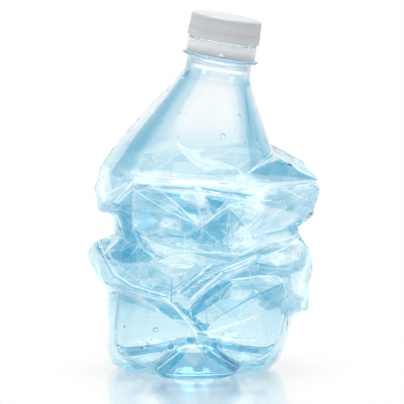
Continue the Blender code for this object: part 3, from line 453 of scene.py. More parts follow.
# Panels of the front painted with shade where the crushed film also lies doubled, and painted with
# a highlight where it is stretched clear.
# Corners are (x, height) in millimetres. Each group has its own share of the deep shade colour, or
# of white.
PANELS = {
    "dark_panels": (
        ((-37.5, 71), (-30, 72), (-30, 61.5), (-26.5, 55.5), (-20.5, 53), (-23.5, 50.5),
         (-34.5, 49), (-39, 50.5), (-37, 56.5)),
        ((-18, 81), (-9, 80), (-9, 78.5), (-16, 79)),
        ((1, 79), (8, 76.5), (3.5, 72)),
        ((24, 91.5), (27, 94.5), (30, 92), (26, 91.5)),
        ((-16, 35), (-11.5, 31), (-8.5, 27), (-13, 26.5), (-19, 30.5)),
        ((-13.5, 34.5), (-11, 35), (-0.5, 24.5), (-3, 24.5)),
        ((-4.5, 24.5), (2.5, 24.5), (1, 21.5), (-2, 21.5)),
        ((-8, 29.5), (-4.5, 34.5), (0.5, 39), (8.5, 44.5), (12, 42.5), (7.5, 36), (0.5, 30.5),
         (-5, 28)),
        ((-46, 53), (-42.5, 52.5), (-39, 50), (-41, 49), (-45, 51.5)),
        ((17.3, 121), (20, 121), (20, 127), (17.8, 127)),
        ((-8.5, 125.5), (-6.2, 125.5), (-5.2, 131.5), (-7.5, 131.5)),
        ((-11.5, 14), (-8, 12), (-15.5, 4), (-21.5, 5)),
        ((0.5, 12.5), (11.5, 4), (16, 5.5), (5, 15)),
        ((-20.5, 4.5), (-16, 4), (11, 4), (16, 5.5), (13, 1), (-17, 1)),
        ((-15.5, 16.5), (-13, 17), (-12.5, 14.5), (-15, 14)), ((-11, 16), (-8.5, 16), (-9, 14.5)),
        ((-8, 19), (-3, 19), (-4, 17), (-7, 17)), ((-0.5, 16), (2.5, 16), (2, 14), (-0.5, 14)),
        ((3, 17), (6, 17), (5, 14.5), (3, 15)),
    ),
    "shaded_panels": (
        ((-7, 60.5), (0.5, 67), (11, 74), (18, 72), (11.5, 65), (7.5, 57.5), (-1.5, 58.5)),
        ((-11.5, 74.5), (-6, 73.5), (1, 74), (1, 72), (-5, 71), (-10, 72.5)),
        ((18.5, 88), (24, 89.5), (30.5, 91.5), (36.5, 88), (41.5, 86.5), (46, 84), (48, 81),
         (40.5, 83), (32, 85), (24, 86.5)),
        ((10.5, 46), (21.5, 51.5), (17.5, 46), (11.5, 43.5)),
        ((-28.5, 60), (-25.5, 60), (-22.5, 58), (-19.5, 53), (-23.5, 55), (-27, 56.5)),
        ((-38.5, 71.5), (-29.5, 82.5), (-30, 72)),
        ((31.5, 41.5), (33.5, 33.5), (32.5, 30.5), (27.5, 29), (22.5, 32.5), (24, 38)),
        ((21.5, 51.5), (29.5, 48), (41.5, 45), (33, 43.5), (24, 45), (15, 45)),
        ((-26, 36.5), (-16, 35), (-19, 30.5)), ((-4.5, 24.5), (2.5, 24.5), (1, 21.5), (-2, 21.5)),
        ((-8, 29.5), (-4.5, 34.5), (0.5, 39), (2, 37), (-3, 31), (-5, 28)),
        ((-10.5, 13), (3.5, 13), (11.5, 4), (-15.5, 4)),
        ((-13.5, 16), (-13.5, 14), (-30.5, 9.5), (-34, 10.5)),
        ((6, 17), (6, 15), (21, 10.5), (24, 12.5)),
        ((-36, 9), (-30, 8), (-22, 4), (-29, 4)),
        ((16, 5.5), (28, 9), (25, 5)),
    ),
    "faint_shade_panels": (
        ((-38.5, 49), (-22.5, 51), (-17.5, 47.5), (-12, 44), (-11.5, 37.5), (-22.5, 38.5),
         (-34.5, 41.5)),
        ((0.5, 55.5), (13, 54.5), (21, 57), (30, 56.5), (42, 54), (24, 51.5), (11, 48),
         (0.5, 48)),
        ((-37, 32.5), (-35, 32.5), (-36.5, 12.5), (-38.5, 11.5)),
        ((17, 123), (20, 123), (28, 94), (22, 88.5), (19.5, 92), (17.5, 105)),
        ((-10.5, 46), (0.5, 51), (10, 49.5), (8.5, 45), (0, 40), (-8, 35)),
    ),
    "stretched_highlight_panels": (
        ((-31.5, 88.5), (-18, 89.5), (0.5, 87.5), (19, 87.5), (22.5, 85), (40.5, 81),
         (48.5, 78), (24, 78.5), (15, 80.5), (0.5, 82.5), (-14, 83.5), (-28.5, 83)),
        ((-22.5, 83), (1, 82), (0.5, 74.5), (-3.5, 76), (-13.5, 79), (-20, 81.5)),
        ((-11, 100), (-8.5, 98.5), (0.5, 95), (13, 90), (1, 89.5), (-3.5, 92)),
        ((-18.5, 51.5), (-13.5, 54), (-7.5, 55), (-2.5, 53), (-6, 49.5), (-13.5, 49)),
        ((7.5, 75.5), (19, 77.5), (24, 75.5), (40.5, 68), (37, 63.5), (24, 61), (10, 60.5),
         (17.5, 67.5)),
        ((-18.5, 75.5), (-10, 74.5), (-15, 70.5)), ((-17, 70), (-8, 67), (-10, 63), (-19, 65)),
        ((34.5, 61.5), (40.5, 57.5), (42, 54.5), (31.5, 57), (19, 57), (11, 55.5), (11.5, 59.5)),
        ((24, 52), (31, 49), (40, 49.5), (42, 56), (30, 54.5)),
        ((11.5, 40), (21, 39.5), (17, 35), (10, 36)),
        ((-26, 59.5), (-12, 56), (-14, 54.5), (-22, 56)),
        ((36, 45), (43, 46), (43, 32), (37, 35)),
        ((-50, 87), (-40, 88), (-38, 76), (-42, 73), (-50, 77)),
        ((-30, 9), (-14, 14), (-18, 9.5), (-22.5, 6)), ((6.5, 14), (24, 10), (19, 7.5), (15, 7.5)),
    ),
}
# Creases of the front seen all along, as places (x, height) in millimetres: those painted white
# with a glow as highlights, and those painted with blue shade, partly the film's own blue.
CREASES = {
    "painted_highlight_line": (
        ((-11, 100), (-8.5, 98.5), (0.5, 95), (13, 90)),
        ((-11, 100), (-8.5, 96.5), (-3.5, 92), (1, 89.5)),
        ((-44.5, 54.5), (-40, 48), (-37, 44), (-30, 40.5), (-22.5, 39), (-16, 37.5)),
        ((-17, 36.5), (-12.5, 33.5), (-5, 23), (-3, 20)),
        ((0, 20.5), (14, 25.5), (26, 29)), ((1, 20.5), (13, 24), (22, 26.5)),
        ((-11, 39), (3, 51)), ((-5, 36.5), (7.5, 47)),
        ((0.5, 46), (6, 47.5), (13, 51), (21.5, 54)), ((8.5, 47.5), (21.5, 53)),
        ((24, 52.5), (41, 58.5)), ((11.5, 44), (22, 45.5), (30.5, 44.5), (32.5, 42)),
        ((18.5, 88), (24, 90.5), (31, 93)), ((20, 89), (31, 95.5)),
        ((-37.5, 74.5), (-30, 83.5)), ((-36, 74.5), (-29.5, 81.5)), ((-41.5, 76.5), (-32.5, 83)),
        ((-29.5, 81.5), (-16, 72.5), (-2.5, 66.5)), ((-18, 81.5), (-8, 72), (-2.5, 67)),
        ((0.5, 67.5), (11.5, 75.5)), ((15, 61), (25, 72.5)), ((32.5, 81), (44, 73.5)),
        ((-26.5, 60), (-12, 56.5), (-1.5, 56), (15, 55), (24, 58.5), (39.5, 59.5)),
        ((-29, 84), (0, 84.5), (20, 82), (48, 79.5)), ((-28, 87.5), (-10, 86), (10, 85)),
        ((-20, 82), (5, 80), (20, 77), (28, 76.5)), ((15, 80.5), (30, 83), (48, 80.5)),
        ((-18.5, 51.5), (-13.5, 54), (-7.5, 55)), ((-4, 51), (-6, 49.5), (-11, 49.2)),
        ((-10.5, 19), (-16, 17.8), (-27, 16.3), (-33, 15.4), (-36, 16.5)),
        ((4.5, 19.5), (15, 17.5), (27, 16.3), (30, 18)), ((-12, 14.5), (-30.5, 9)),
        ((7.5, 14.5), (24, 10)), ((-10, 13.5), (-19.5, 5.5)), ((3, 13.5), (13.5, 6)),
        ((-15.5, 3), (12, 3.2)),
    ),
    "blue_shade_line": (
        ((1, 25), (17, 34.5), (32.5, 41.5)),
        ((-17, 37.5), (-8, 43.5), (0.5, 48.5), (8.5, 51)),
        ((0.5, 56.5), (8.5, 54), (16, 54), (27.5, 57.5), (39.5, 58.5)),
        ((21.5, 51), (29.5, 48.5), (33.5, 48.5), (42, 44.5)),
        ((-43, 51.5), (-38, 43), (-30.5, 40), (-16, 37)),
        ((32.5, 41), (35, 28), (32.5, 17)), ((-35.5, 36), (-37.5, 19)),
        ((-35.5, 73.5), (-36, 61), (-39, 51.5)), ((-38, 73.5), (-29.5, 74)),
        ((-9.5, 38.5), (4.5, 50.5)), ((-6.5, 37), (7, 48.5)), ((-13.5, 45), (-13.5, 34)),
        ((17, 123), (19, 105), (22, 89)), ((-28, 83), (0, 82.5), (20, 79)),
        ((-28, 62), (-26, 58), (-20, 54), (-16, 53)), ((0.5, 79), (8, 76), (3.5, 71.5)),
        ((-7, 60.5), (-28, 61.5)), ((30, 89.5), (41, 87)), ((-4, 20.5), (3, 19.5), (6, 17)),
    ),
}
# The turns, in degrees, at which an edge of the solid gets its thinnest and its widest line.
CREASE_FROM, CREASE_FULL = 34.0, 75.0
# The width of a crease of the front, and the most that the fields of panels and creases hold.
LINE_WIDTH, FAR = 0.38, 4.0
# Below this height, which rises away from the pinched middle of the front, the body is smooth.
PINCH_X, PINCH_HEIGHT, PINCH_RISE = -2.0 * MM, 23.0 * MM, 0.36
LEAST_LINE, WIDEST_LINE, LINE_REACH = 0.12 * MM, 0.36 * MM, 6.0


def triangle_wave(value):
    return 4.0 * np.abs(value - np.floor(value + 0.5)) - 1.0


def crushed_share(height):
    return (smoothstep(CRUSHED_FROM - CRUSHED_FADE, CRUSHED_FROM + CRUSHED_FADE, height)
            * (1.0 - smoothstep(CRUSHED_TO - CRUSHED_FADE, CRUSHED_TO, height)))


def fine_fold_offset(points):
    """How far each point moves outwards, as a sum of folded sheets that drift a little."""
    noise.seed_set(DRIFT_SEED)
    drift = np.array([noise.noise_vector(Vector(point) / DRIFT_SIZE) for point in points])
    moved = points + drift * FOLD_DRIFT
    total = np.zeros(len(points))
    for number, (direction, spacing, share) in enumerate(FINE_FOLDS):
        along = moved @ (np.array(direction) / np.linalg.norm(direction))
        total += share * triangle_wave(along / (spacing * MM) + 0.37 * number)
    return total * crushed_share(points[:, 2])


def mark_lining(bm):
    """Stores 1 at the vertices of the inner skin, which meets the outer one at the flat lip."""
    lining = bm.verts.layers.float.new("lining")
    top = max(vert.co.dot(NECK_AXIS) for vert in bm.verts)
    lip = {face for face in bm.faces if face.normal.dot(NECK_AXIS) > 0.99
           and top - face.calc_center_median().dot(NECK_AXIS) < LIP_REACH}
    waiting = [max(bm.verts, key=lambda vert: vert.co.x)]
    outside = set(waiting)
    while waiting:
        for face in waiting.pop().link_faces:
            if face not in lip:
                waiting += [vert for vert in face.verts if vert not in outside]
                outside.update(face.verts)
    for vert in bm.verts:
        vert[lining] = float(vert not in outside)


def split_faces(bm, inside):
    """Splits the faces of one zone once, which keeps facets flat between tight folds."""
    edges = [edge for edge in bm.edges if all(inside(vert.co) for vert in edge.verts)]
    bmesh.ops.subdivide_edges(bm, edges=edges, cuts=1, use_grid_fill=True)


def crease_edges(bm):
    """Marks how firmly each edge stays sharp, from the angle it turns through."""
    layer = bm.edges.layers.float.get("crease_edge") or bm.edges.layers.float.new("crease_edge")
    for edge in bm.edges:
        if len(edge.link_faces) == 2:
            turn = math.degrees(edge.calc_face_angle(0.0))
            edge[layer] = min(FIRMEST, max(0.0, (turn - SOFT_TURN) / TURN_SPAN))


def subdivided(bm, kind):
    """The bmesh after one subdivision, as mesh data. The kind SIMPLE keeps it flat."""
    helper = bpy.data.objects.new("subdividing", mesh_from(bm, "subdividing"))
    bpy.context.scene.collection.objects.link(helper)
    modifier = helper.modifiers.new("smooth", "SUBSURF")
    modifier.subdivision_type = kind
    modifier.levels = modifier.render_levels = 1
    graph = bpy.context.evaluated_depsgraph_get()
    result = bpy.data.meshes.new_from_object(helper.evaluated_get(graph))
    bpy.data.objects.remove(helper, do_unlink=True)
    return result


def vectors_of(collection, field, count):
    values = np.empty(len(collection) * count, np.float32)
    collection.foreach_get(field, values)
    return values.reshape(-1, count).astype(float)


def set_points(data, points):
    data.vertices.foreach_set("co", points.astype(np.float32).ravel())
    data.update()


def add_point_layer(data, name, values):
    layer = data.attributes.new(name, "FLOAT", "POINT")
    layer.data.foreach_set("value", values.astype(np.float32))


def lining_of(data):
    return vectors_of(data.attributes["lining"].data, "value", 1)[:, 0]


def move_outwards(data, offsets):
    points = vectors_of(data.vertices, "co", 3)
    outward = (points - np.array(WALL_AXIS)) * (1.0, 1.0, 0.0)
    outward /= np.linalg.norm(outward, axis=1)[:, None] + 1e-9
    set_points(data, points + outward * offsets(points)[:, None])


def thin_film(data):
    """Draws the lining up to the outer skin, so that the wall is an even film below the finish."""
    points = vectors_of(data.vertices, "co", 3)
    lining = lining_of(data)
    faces = [face.vertices[:] for face in data.polygons
             if all(lining[corner] < 0.5 for corner in face.vertices)]
    skin = BVHTree.FromPolygons([Vector(point) for point in points], faces)
    along = points @ np.array(NECK_AXIS)
    share = 1.0 - smoothstep(-FILM_FADE, 0.0, along - (along.max() - FINISH))
    for number in np.nonzero((lining > 0.5) & (share > 0.0))[0]:
        point = Vector(points[number])
        nearest = skin.find_nearest(point)[0]
        gap = (point - nearest).length
        if gap > FILM:
            points[number] = point.lerp(nearest + (point - nearest) * FILM / gap, share[number])
    set_points(data, points)


def ridge_turns(data, sign):
    """The sharpest angle, in degrees, at which the wall folds outwards at each vertex."""
    bm = bmesh.new()
    bm.from_mesh(data)
    turns = np.array([max((edge.calc_face_angle_signed(0.0) * sign[vert.index]
                           for edge in vert.link_edges if len(edge.link_faces) == 2),
                          default=0.0) for vert in bm.verts])
    bm.free()
    return np.degrees(turns)


def hollow_depths(data, sign):
    """How far each vertex lies below the wall around it, in millimetres."""
    points, normals = vectors_of(data.vertices, "co", 3), vectors_of(data.vertices, "normal", 3)
    ends = np.empty(len(data.edges) * 2, np.int32)
    data.edges.foreach_get("vertices", ends)
    first, second = ends.reshape(-1, 2).T
    count = np.bincount(ends, minlength=len(points))[:, None]
    level = points.copy()
    for _ in range(HOLLOW_ROUNDS):
        total = np.zeros_like(level)
        np.add.at(total, first, level[second])
        np.add.at(total, second, level[first])
        level = total / count
    return ((level - points) * normals).sum(1) * sign / MM


def distance_to_path(points, places, closed=False):
    """Distance of each point to a path; both have as many coordinates as each other."""
    nearest = np.full(len(points), np.inf)
    ends = places[1:] + places[:1] if closed else places[1:]
    for start, end in zip(places, ends):
        line = np.subtract(end, start).astype(float)
        along = np.clip((points - start) @ line / (line @ line), 0.0, 1.0)
        gaps = np.linalg.norm(points - start - along[:, None] * line, axis=1)
        nearest = np.minimum(nearest, gaps)
    return nearest


def depth_in_panel(points, corners):
    """How far each point lies inside a panel's outline, and below 0 outside it."""
    inside = np.zeros(len(points), bool)
    for (x0, z0), (x1, z1) in zip(corners, corners[1:] + corners[:1]):
        if z0 != z1:
            crosses = (z0 > points[:, 1]) != (z1 > points[:, 1])
            inside ^= crosses & (points[:, 0] < x0 + (points[:, 1] - z0) * (x1 - x0) / (z1 - z0))
    return distance_to_path(points, corners, closed=True) * np.where(inside, 1.0, -1.0)


def sharp_edges(bm, lining):
    """The outer skin's creases: both ends, line width, and whether the wall folds outwards."""
    found = []
    for edge in bm.edges:
        if len(edge.link_faces) == 2 and not any(vert[lining] for vert in edge.verts):
            turn = math.degrees(edge.calc_face_angle_signed(0.0))
            height = sum(vert.co.z for vert in edge.verts) / 2
            if abs(turn) > CREASE_FROM and CRUSHED_FROM < height < LINES_TO:
                share = min(1.0, (abs(turn) - CREASE_FROM) / (CREASE_FULL - CREASE_FROM))
                found.append((*(tuple(vert.co) for vert in edge.verts),
                              LEAST_LINE + (WIDEST_LINE - LEAST_LINE) * share, turn > 0))
    return found


def line_fields(points, creases):
    """For outward and inward creases: distance to the nearest, in half widths of its line."""
    fields = {True: np.full(len(points), LINE_REACH), False: np.full(len(points), LINE_REACH)}
    for start, end, width, outward in creases:
        reach = LINE_REACH * width
        low, high = np.minimum(start, end) - reach, np.maximum(start, end) + reach
        near = np.nonzero(((points > low) & (points < high)).all(1))[0]
        if len(near):
            gap = distance_to_path(points[near], (start, end)) / width
            fields[outward][near] = np.minimum(fields[outward][near], gap)
    return fields[True], fields[False]


def base_marks(points):
    """Share of the base, and how much painted shade darkens the roots of its grooves and painted
    light makes its hub paler.
    """
    across = points[:, :2] - (BASE_AXIS_X, 0.0)
    reach = np.linalg.norm(across, axis=1)
    base = 1.0 - smoothstep(0.8 * BASE_TOP, 1.1 * BASE_TOP, points[:, 2])
    bearing = np.degrees(np.arctan2(across[:, 1], across[:, 0])) - FIRST_GROOVE
    spacing = 360.0 / GROOVES
    apart = np.radians(np.abs((bearing + spacing / 2) % spacing - spacing / 2)) * reach
    spot = np.hypot(apart, reach - SPOT_RADIUS)
    inside = base * (reach < 3 * SPOT_RADIUS)
    marks = inside * (1.0 - smoothstep(1.0 * MM, 2.2 * MM, spot))
    hub = inside * (1.0 - smoothstep(0.8 * HUB_RADIUS, 1.15 * HUB_RADIUS, reach))
    return base, marks - hub


def finish_share(points):
    """1 on the neck above the shoulder, and 1 on the rim of its support ring."""
    along = points @ np.array(NECK_AXIS)
    finish = smoothstep(-NECK_LENGTH - FILM_FADE, -NECK_LENGTH + FILM_FADE, along - along.max())
    inverse = np.array(TurnedPlace("tamper_band").matrix.inverted())
    reach = np.linalg.norm((points @ inverse[:3, :3].T + inverse[:3, 3])[:, :2], axis=1)
    return finish, finish * smoothstep(RIM_FROM, RIM_FROM + 0.8 * MM, reach)


def refine_creases(data):
    """Splits the outer skin's faces once more along the drawn creases, without moving it."""
    bm = bmesh.new()
    bm.from_mesh(data)
    lining = bm.verts.layers.float["lining"]
    seen = vectors_of(data.vertices, "co", 3)[:, [0, 2]] / MM
    paths = [path for creases in CREASES.values() for path in creases]
    gaps = np.min([distance_to_path(seen, path) for path in paths], axis=0)
    near = [gap < CREASE_MARGIN and vert.co.y < FRONT_FROM and vert[lining] < 0.5
            for vert, gap in zip(bm.verts, gaps)]
    edges = [edge for edge in bm.edges if all(near[vert.index] for vert in edge.verts)]
    bmesh.ops.subdivide_edges(bm, edges=edges, cuts=1, use_grid_fill=True)
    bmesh.ops.triangulate(bm, faces=[face for face in bm.faces if len(face.verts) > 4])
    bm.to_mesh(data)
    bm.free()


def mark_film(data):
    """Stores where the film is creased white and painted with highlights, where it is painted with
    shade, and where its tint begins.
    """
    sign = 1.0 - 2.0 * (lining_of(data) > 0.5)
    points, normals = vectors_of(data.vertices, "co", 3), vectors_of(data.vertices, "normal", 3)
    crushed = crushed_share(points[:, 2])
    turned_down = -normals[:, 2] * sign
    front = (normals[:, 1] * sign < -0.15) & (points[:, 1] < 1.0 * MM)
    # Painted shade in the crushed part: a base share, more where the film faces down and where it
    # lies in hollows, less on the front.
    deep_shade = (0.10 + 0.25 * turned_down) * crushed
    deep_shade += smoothstep(0.05, 0.7, hollow_depths(data, sign)) * 0.4
    deep_shade *= np.where(front, 0.6, 1.0)
    # Painted shade: a little more on the low shoulder.
    low_shoulder = smoothstep(*SHOULDER_START, points[:, 2])
    low_shoulder = low_shoulder * (1.0 - smoothstep(*SHOULDER_END, points[:, 2]))
    deep_shade += 0.05 * low_shoulder
    # The base's marks: painted shade at the roots of its grooves, and painted light on its hub.
    base, marks = base_marks(points)
    finish, rim = finish_share(points)
    # Outward folds are whitened: partly the stress whitening of creased film, partly a painted
    # highlight.
    ridge = smoothstep(7.0, 26.0, ridge_turns(data, sign)) * crushed
    lower = 1.0 - smoothstep(TINT_FROM, TINT_TO, points[:, 2])
    # Share of the painted edge shade: more above the crushed part, less on the base and the neck
    # finish.
    edge = 0.3 + 0.7 * smoothstep(*EDGE_START, points[:, 2]) - 0.25 * base
    add_point_layer(data, "edge", edge * (1.0 - 0.65 * finish))
    # The neck finish, but not its support ring's rim, is whitened as a painted highlight.
    add_point_layer(data, "ridge", np.maximum(0.5 * ridge, 0.5 * (finish - rim)))
    # The rim of the support ring is painted dark as shade.
    add_point_layer(data, "deep_shade", np.clip(deep_shade + marks, 0.0, 1.0) * (1.0 - finish) + 0.8 * rim)
    add_point_layer(data, "lower", lower)
    add_point_layer(data, "crushed", crushed)
    pinched = points[:, 2] - PINCH_HEIGHT - PINCH_RISE * np.abs(points[:, 0] - PINCH_X)
    faceted = smoothstep(-1.5 * MM, 1.5 * MM, pinched)
    faceted = faceted * (1.0 - smoothstep(*FACETS_END, points[:, 2]))
    add_point_layer(data, "faceted", faceted)
    seen = points[:, [0, 2]] / MM
    for name, panels in PANELS.items():
        depths = np.max([depth_in_panel(seen, corners) for corners in panels], axis=0)
        add_point_layer(data, name, np.where(front, np.clip(depths, -FAR, FAR), -FAR))
    for name, creases in CREASES.items():
        nearest = np.min([distance_to_path(seen, places) for places in creases], axis=0)
        add_point_layer(data, name, np.where(front, np.minimum(nearest / LINE_WIDTH, FAR), FAR))


class BOTTLE_OT_wall(bpy.types.Operator):
    """Builds the creased clear wall round the bottle's own solid"""
    bl_idname = "bottle.wall"
    bl_label = "Clear wall"

    def execute(self, context):
        wall = settings("bottle_wall")
        bm = merged_copy("bottle")
        mark_lining(bm)
        creases = sharp_edges(bm, bm.verts.layers.float["lining"])
        bmesh.ops.join_triangles(bm, faces=bm.faces,
                                 angle_face_threshold=math.radians(JOIN_TURN),
                                 angle_shape_threshold=math.radians(JOIN_SKEW))
        crease_edges(bm)
        split_faces(bm, lambda place: place.z < CRUSHED_TO
                    and (place.z > CRUSHED_FROM or place.y < FRONT_FROM))
        flat = subdivided(bm.copy(), "SIMPLE")
        data = subdivided(bm, "CATMULL_CLARK")
        data.name = "bottle_wall"
        ridges, valleys = line_fields(vectors_of(flat.vertices, "co", 3), creases)
        # Painted highlight along the outward creases of the solid, painted shade along the inward
        # ones.
        add_point_layer(data, "ridge_line", ridges)
        add_point_layer(data, "valley_shade_line", valleys)
        move_outwards(data, lambda points: fine_fold_offset(points) * wall.fold_depth)
        thin_film(data)
        refine_creases(data)
        mark_film(data)
        data.shade_smooth()
        data.set_sharp_from_angle(angle=math.radians(SHARP_TURN))
        piece = new_piece("bottle_wall", data, clear_wall_material())
        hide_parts("bottle")
        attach(piece, "bottle")
        return {"FINISHED"}


# ---------------------------------------------------------------- closure

CAP_STEPS, RING_STEPS, THREAD_STEPS = 480, 240, 160
BRIDGES, BRIDGE_SIZE = 14, (0.35 * MM, 0.5 * MM, 0.85 * MM, 1.0)
# The finish's thread: inner radius, turns, rise of one turn and start above the ring, in mm.
THREAD_RADIUS, THREAD_TURNS, THREAD_RISE, THREAD_START = 12.3, 1.6, 2.7, 7.0
# How much painted shade the cap and the ring have, as (height in mm, share). Heights below 0 count
# from the top.
CAP_SHADES = ((3.0, 0.0), (3.4, 0.3), (3.9, 0.12), (-4.0, 0.04), (-1.2, 0.3), (-0.4, 0.0))
RING_SHADES = ((0.5, 0.55), (2.0, 0.25), (-3.0, 0.2), (-2.0, 0.05), (-0.5, 0.0))


class TurnedPlace:
    """Where a turned node stands on the neck's axis, read from its own solid."""

    def __init__(self, node):
        flat = NECK_TURN.inverted()
        points = np.array([flat @ vert.co for vert in frame["nodes"][node].data.vertices])
        low, high = points.min(0), points.max(0)
        middle = (low + high) / 2
        self.radius = (high[0] - low[0]) / 2
        self.height = high[2] - low[2]
        self.matrix = NECK_TURN @ Matrix.Translation((middle[0], middle[1], low[2]))


def spun(outline, steps, closed):
    """A bmesh turned about Z from an outline of (radius, height) in millimetres."""
    bm = bmesh.new()
    verts = [bm.verts.new((radius * MM, 0.0, height * MM)) for radius, height in outline]
    ends = zip(verts, verts[1:] + verts[:1] if closed else verts[1:])
    edges = [bm.edges.new(pair) for pair in ends]
    bmesh.ops.spin(bm, geom=verts + edges, cent=(0, 0, 0), axis=(0, 0, 1),
                   angle=2 * math.pi, steps=steps, use_merge=True)
    bmesh.ops.remove_doubles(bm, verts=bm.verts, dist=1e-6)
    bmesh.ops.recalc_face_normals(bm, faces=bm.faces)
    return bm


def rounded(centre, radius, start, end, steps):
    """Points of an arc, with its angles in degrees from the outline's outward direction."""
    for step in range(steps + 1):
        angle = math.radians(start + (end - start) * step / steps)
        yield centre[0] + radius * math.cos(angle), centre[1] + radius * math.sin(angle)


def cap_outline(radius, height):
    side = radius - 0.3
    return [
        (0.0, height - 0.02), (radius - 7.0, height - 0.05), (radius - 3.2, height - 0.16),
        *rounded((side - 1.5, height - 1.75), 1.5, 80, 0, 7),
        (side, height - 2.6), (side, 6.6), (side + 0.04, 5.0), (side + 0.06, 3.7),
        (side + 0.24, 3.45), (radius, 3.2), (radius, 1.6), (radius, 0.5),
        (radius - 0.1, 0.15), (radius - 0.3, 0.0), (radius - 1.3, 0.0), (radius - 1.5, 0.3),
        (radius - 1.5, height - 2.1), (radius - 2.0, height - 1.4), (radius - 4.0, height - 1.2),
        (0.0, height - 1.2),
    ]


def add_grip(bm, radius, height, ribs, depth):
    """Sinks the wall between the upright ribs of the skirt."""
    low, high = 0.4 * MM, (height - 1.9) * MM
    for vert in bm.verts:
        reach = math.hypot(vert.co.x, vert.co.y)
        if reach > (radius - 0.6) * MM and low < vert.co.z < high:
            turn = math.atan2(vert.co.y, vert.co.x) * ribs / (2 * math.pi)
            wave = 0.5 - 0.5 * math.cos(2 * math.pi * turn)
            fade = min(1.0, (high - vert.co.z) / (1.2 * MM))
            vert.co.xy *= 1.0 - depth * wave * fade / reach


def ring_outline(radius, height):
    inside = radius - 0.75
    return [
        (inside, height), (radius - 0.25, height), (radius - 0.08, height - 0.15),
        (radius - 0.08, height - 0.8), (radius - 0.22, height - 0.95),
        (radius - 0.22, height - 1.15), (radius - 0.08, height - 1.3),
        (radius - 0.04, height - 2.5), (radius - 0.2, height - 2.7), (radius - 0.2, height - 3.0),
        (radius, height - 3.2), (radius, 0.25), (radius - 0.15, 0.0), (inside, 0.0),
        (inside - 0.9, 1.7), (inside - 0.9, 2.3), (inside, 2.7),
    ]


def add_bridges(bm, radius, height):
    """The thin stubs on the ring's top edge, where it joined the cap when it was moulded."""
    for number in range(BRIDGES):
        turn = Matrix.Rotation(2 * math.pi * (number + 0.3) / BRIDGES, 4, "Z")
        place = Matrix.Translation(((radius - 0.45) * MM, 0.0, (height + 0.4) * MM))
        bmesh.ops.create_cube(bm, size=1.0, matrix=turn @ place @ Matrix.Diagonal(BRIDGE_SIZE))


def add_mark(bm, radius):
    """A small raised triangle on the front of the ring."""
    turn = Matrix.Rotation(math.radians(-90), 4, "Z")
    place = Matrix.Translation(((radius - 0.05) * MM, 0.0, 1.3 * MM))
    lay = Matrix.Rotation(math.radians(90), 4, "Y")
    size = Matrix.Diagonal((1.0, 1.5, 1.0, 1.0))
    point_up = Matrix.Rotation(math.radians(90), 4, "Z")
    bmesh.ops.create_cone(bm, cap_ends=True, segments=3, radius1=1.2 * MM, radius2=1.0 * MM,
                          depth=0.3 * MM, matrix=turn @ place @ lay @ size @ point_up)


def mark_plastic(bm, inner, height, shades):
    """Stores how much painted shade a turned piece has, and where its inside is painted with a
    glow. Its skin within the inner radius, below its top, is the side that faces the neck."""
    shade = bm.verts.layers.float.new("shade")
    inside = bm.verts.layers.float.new("inside")
    heights = [place + height if place < 0.0 else place for place, _ in shades]
    shares = [share for _, share in shades]
    top = max(vert.co.z for vert in bm.verts) - 1.0 * MM
    for vert in bm.verts:
        vert[shade] = np.interp(vert.co.z / MM, heights, shares)
        vert[inside] = 1.0 if vert.co.xy.length < inner * MM and vert.co.z < top else 0.0


def thread_ridge(radius, turns, rise):
    """A ridge wound up round the finish, which sinks into the wall at both ends."""
    bm = bmesh.new()
    outline = ((radius, 0.0), (radius + 0.95, 0.45), (radius + 0.95, 0.95), (radius, 1.5))
    verts = [bm.verts.new((reach * MM, 0.0, height * MM)) for reach, height in outline]
    bmesh.ops.spin(bm, geom=[bm.faces.new(verts)], cent=(0, 0, 0), axis=(0, 0, 1),
                   dvec=(0, 0, rise * turns / THREAD_STEPS * MM),
                   angle=2 * math.pi * turns, steps=THREAD_STEPS)
    for vert in bm.verts:
        reach = vert.co.xy.length
        done = (vert.co.z / MM - 0.75) / (rise * turns)
        proud = min(1.0, max(0.0, done * 12), max(0.0, (1.0 - done) * 12))
        vert.co.xy *= (radius * MM + (reach - radius * MM) * proud) / reach
    bmesh.ops.recalc_face_normals(bm, faces=bm.faces)
    return bm


def finished_turned(bm, node, name, material, smooth_angle):
    bm.transform(TurnedPlace(node).matrix)
    return new_piece(name, mesh_from(bm, name, smooth_angle), material)


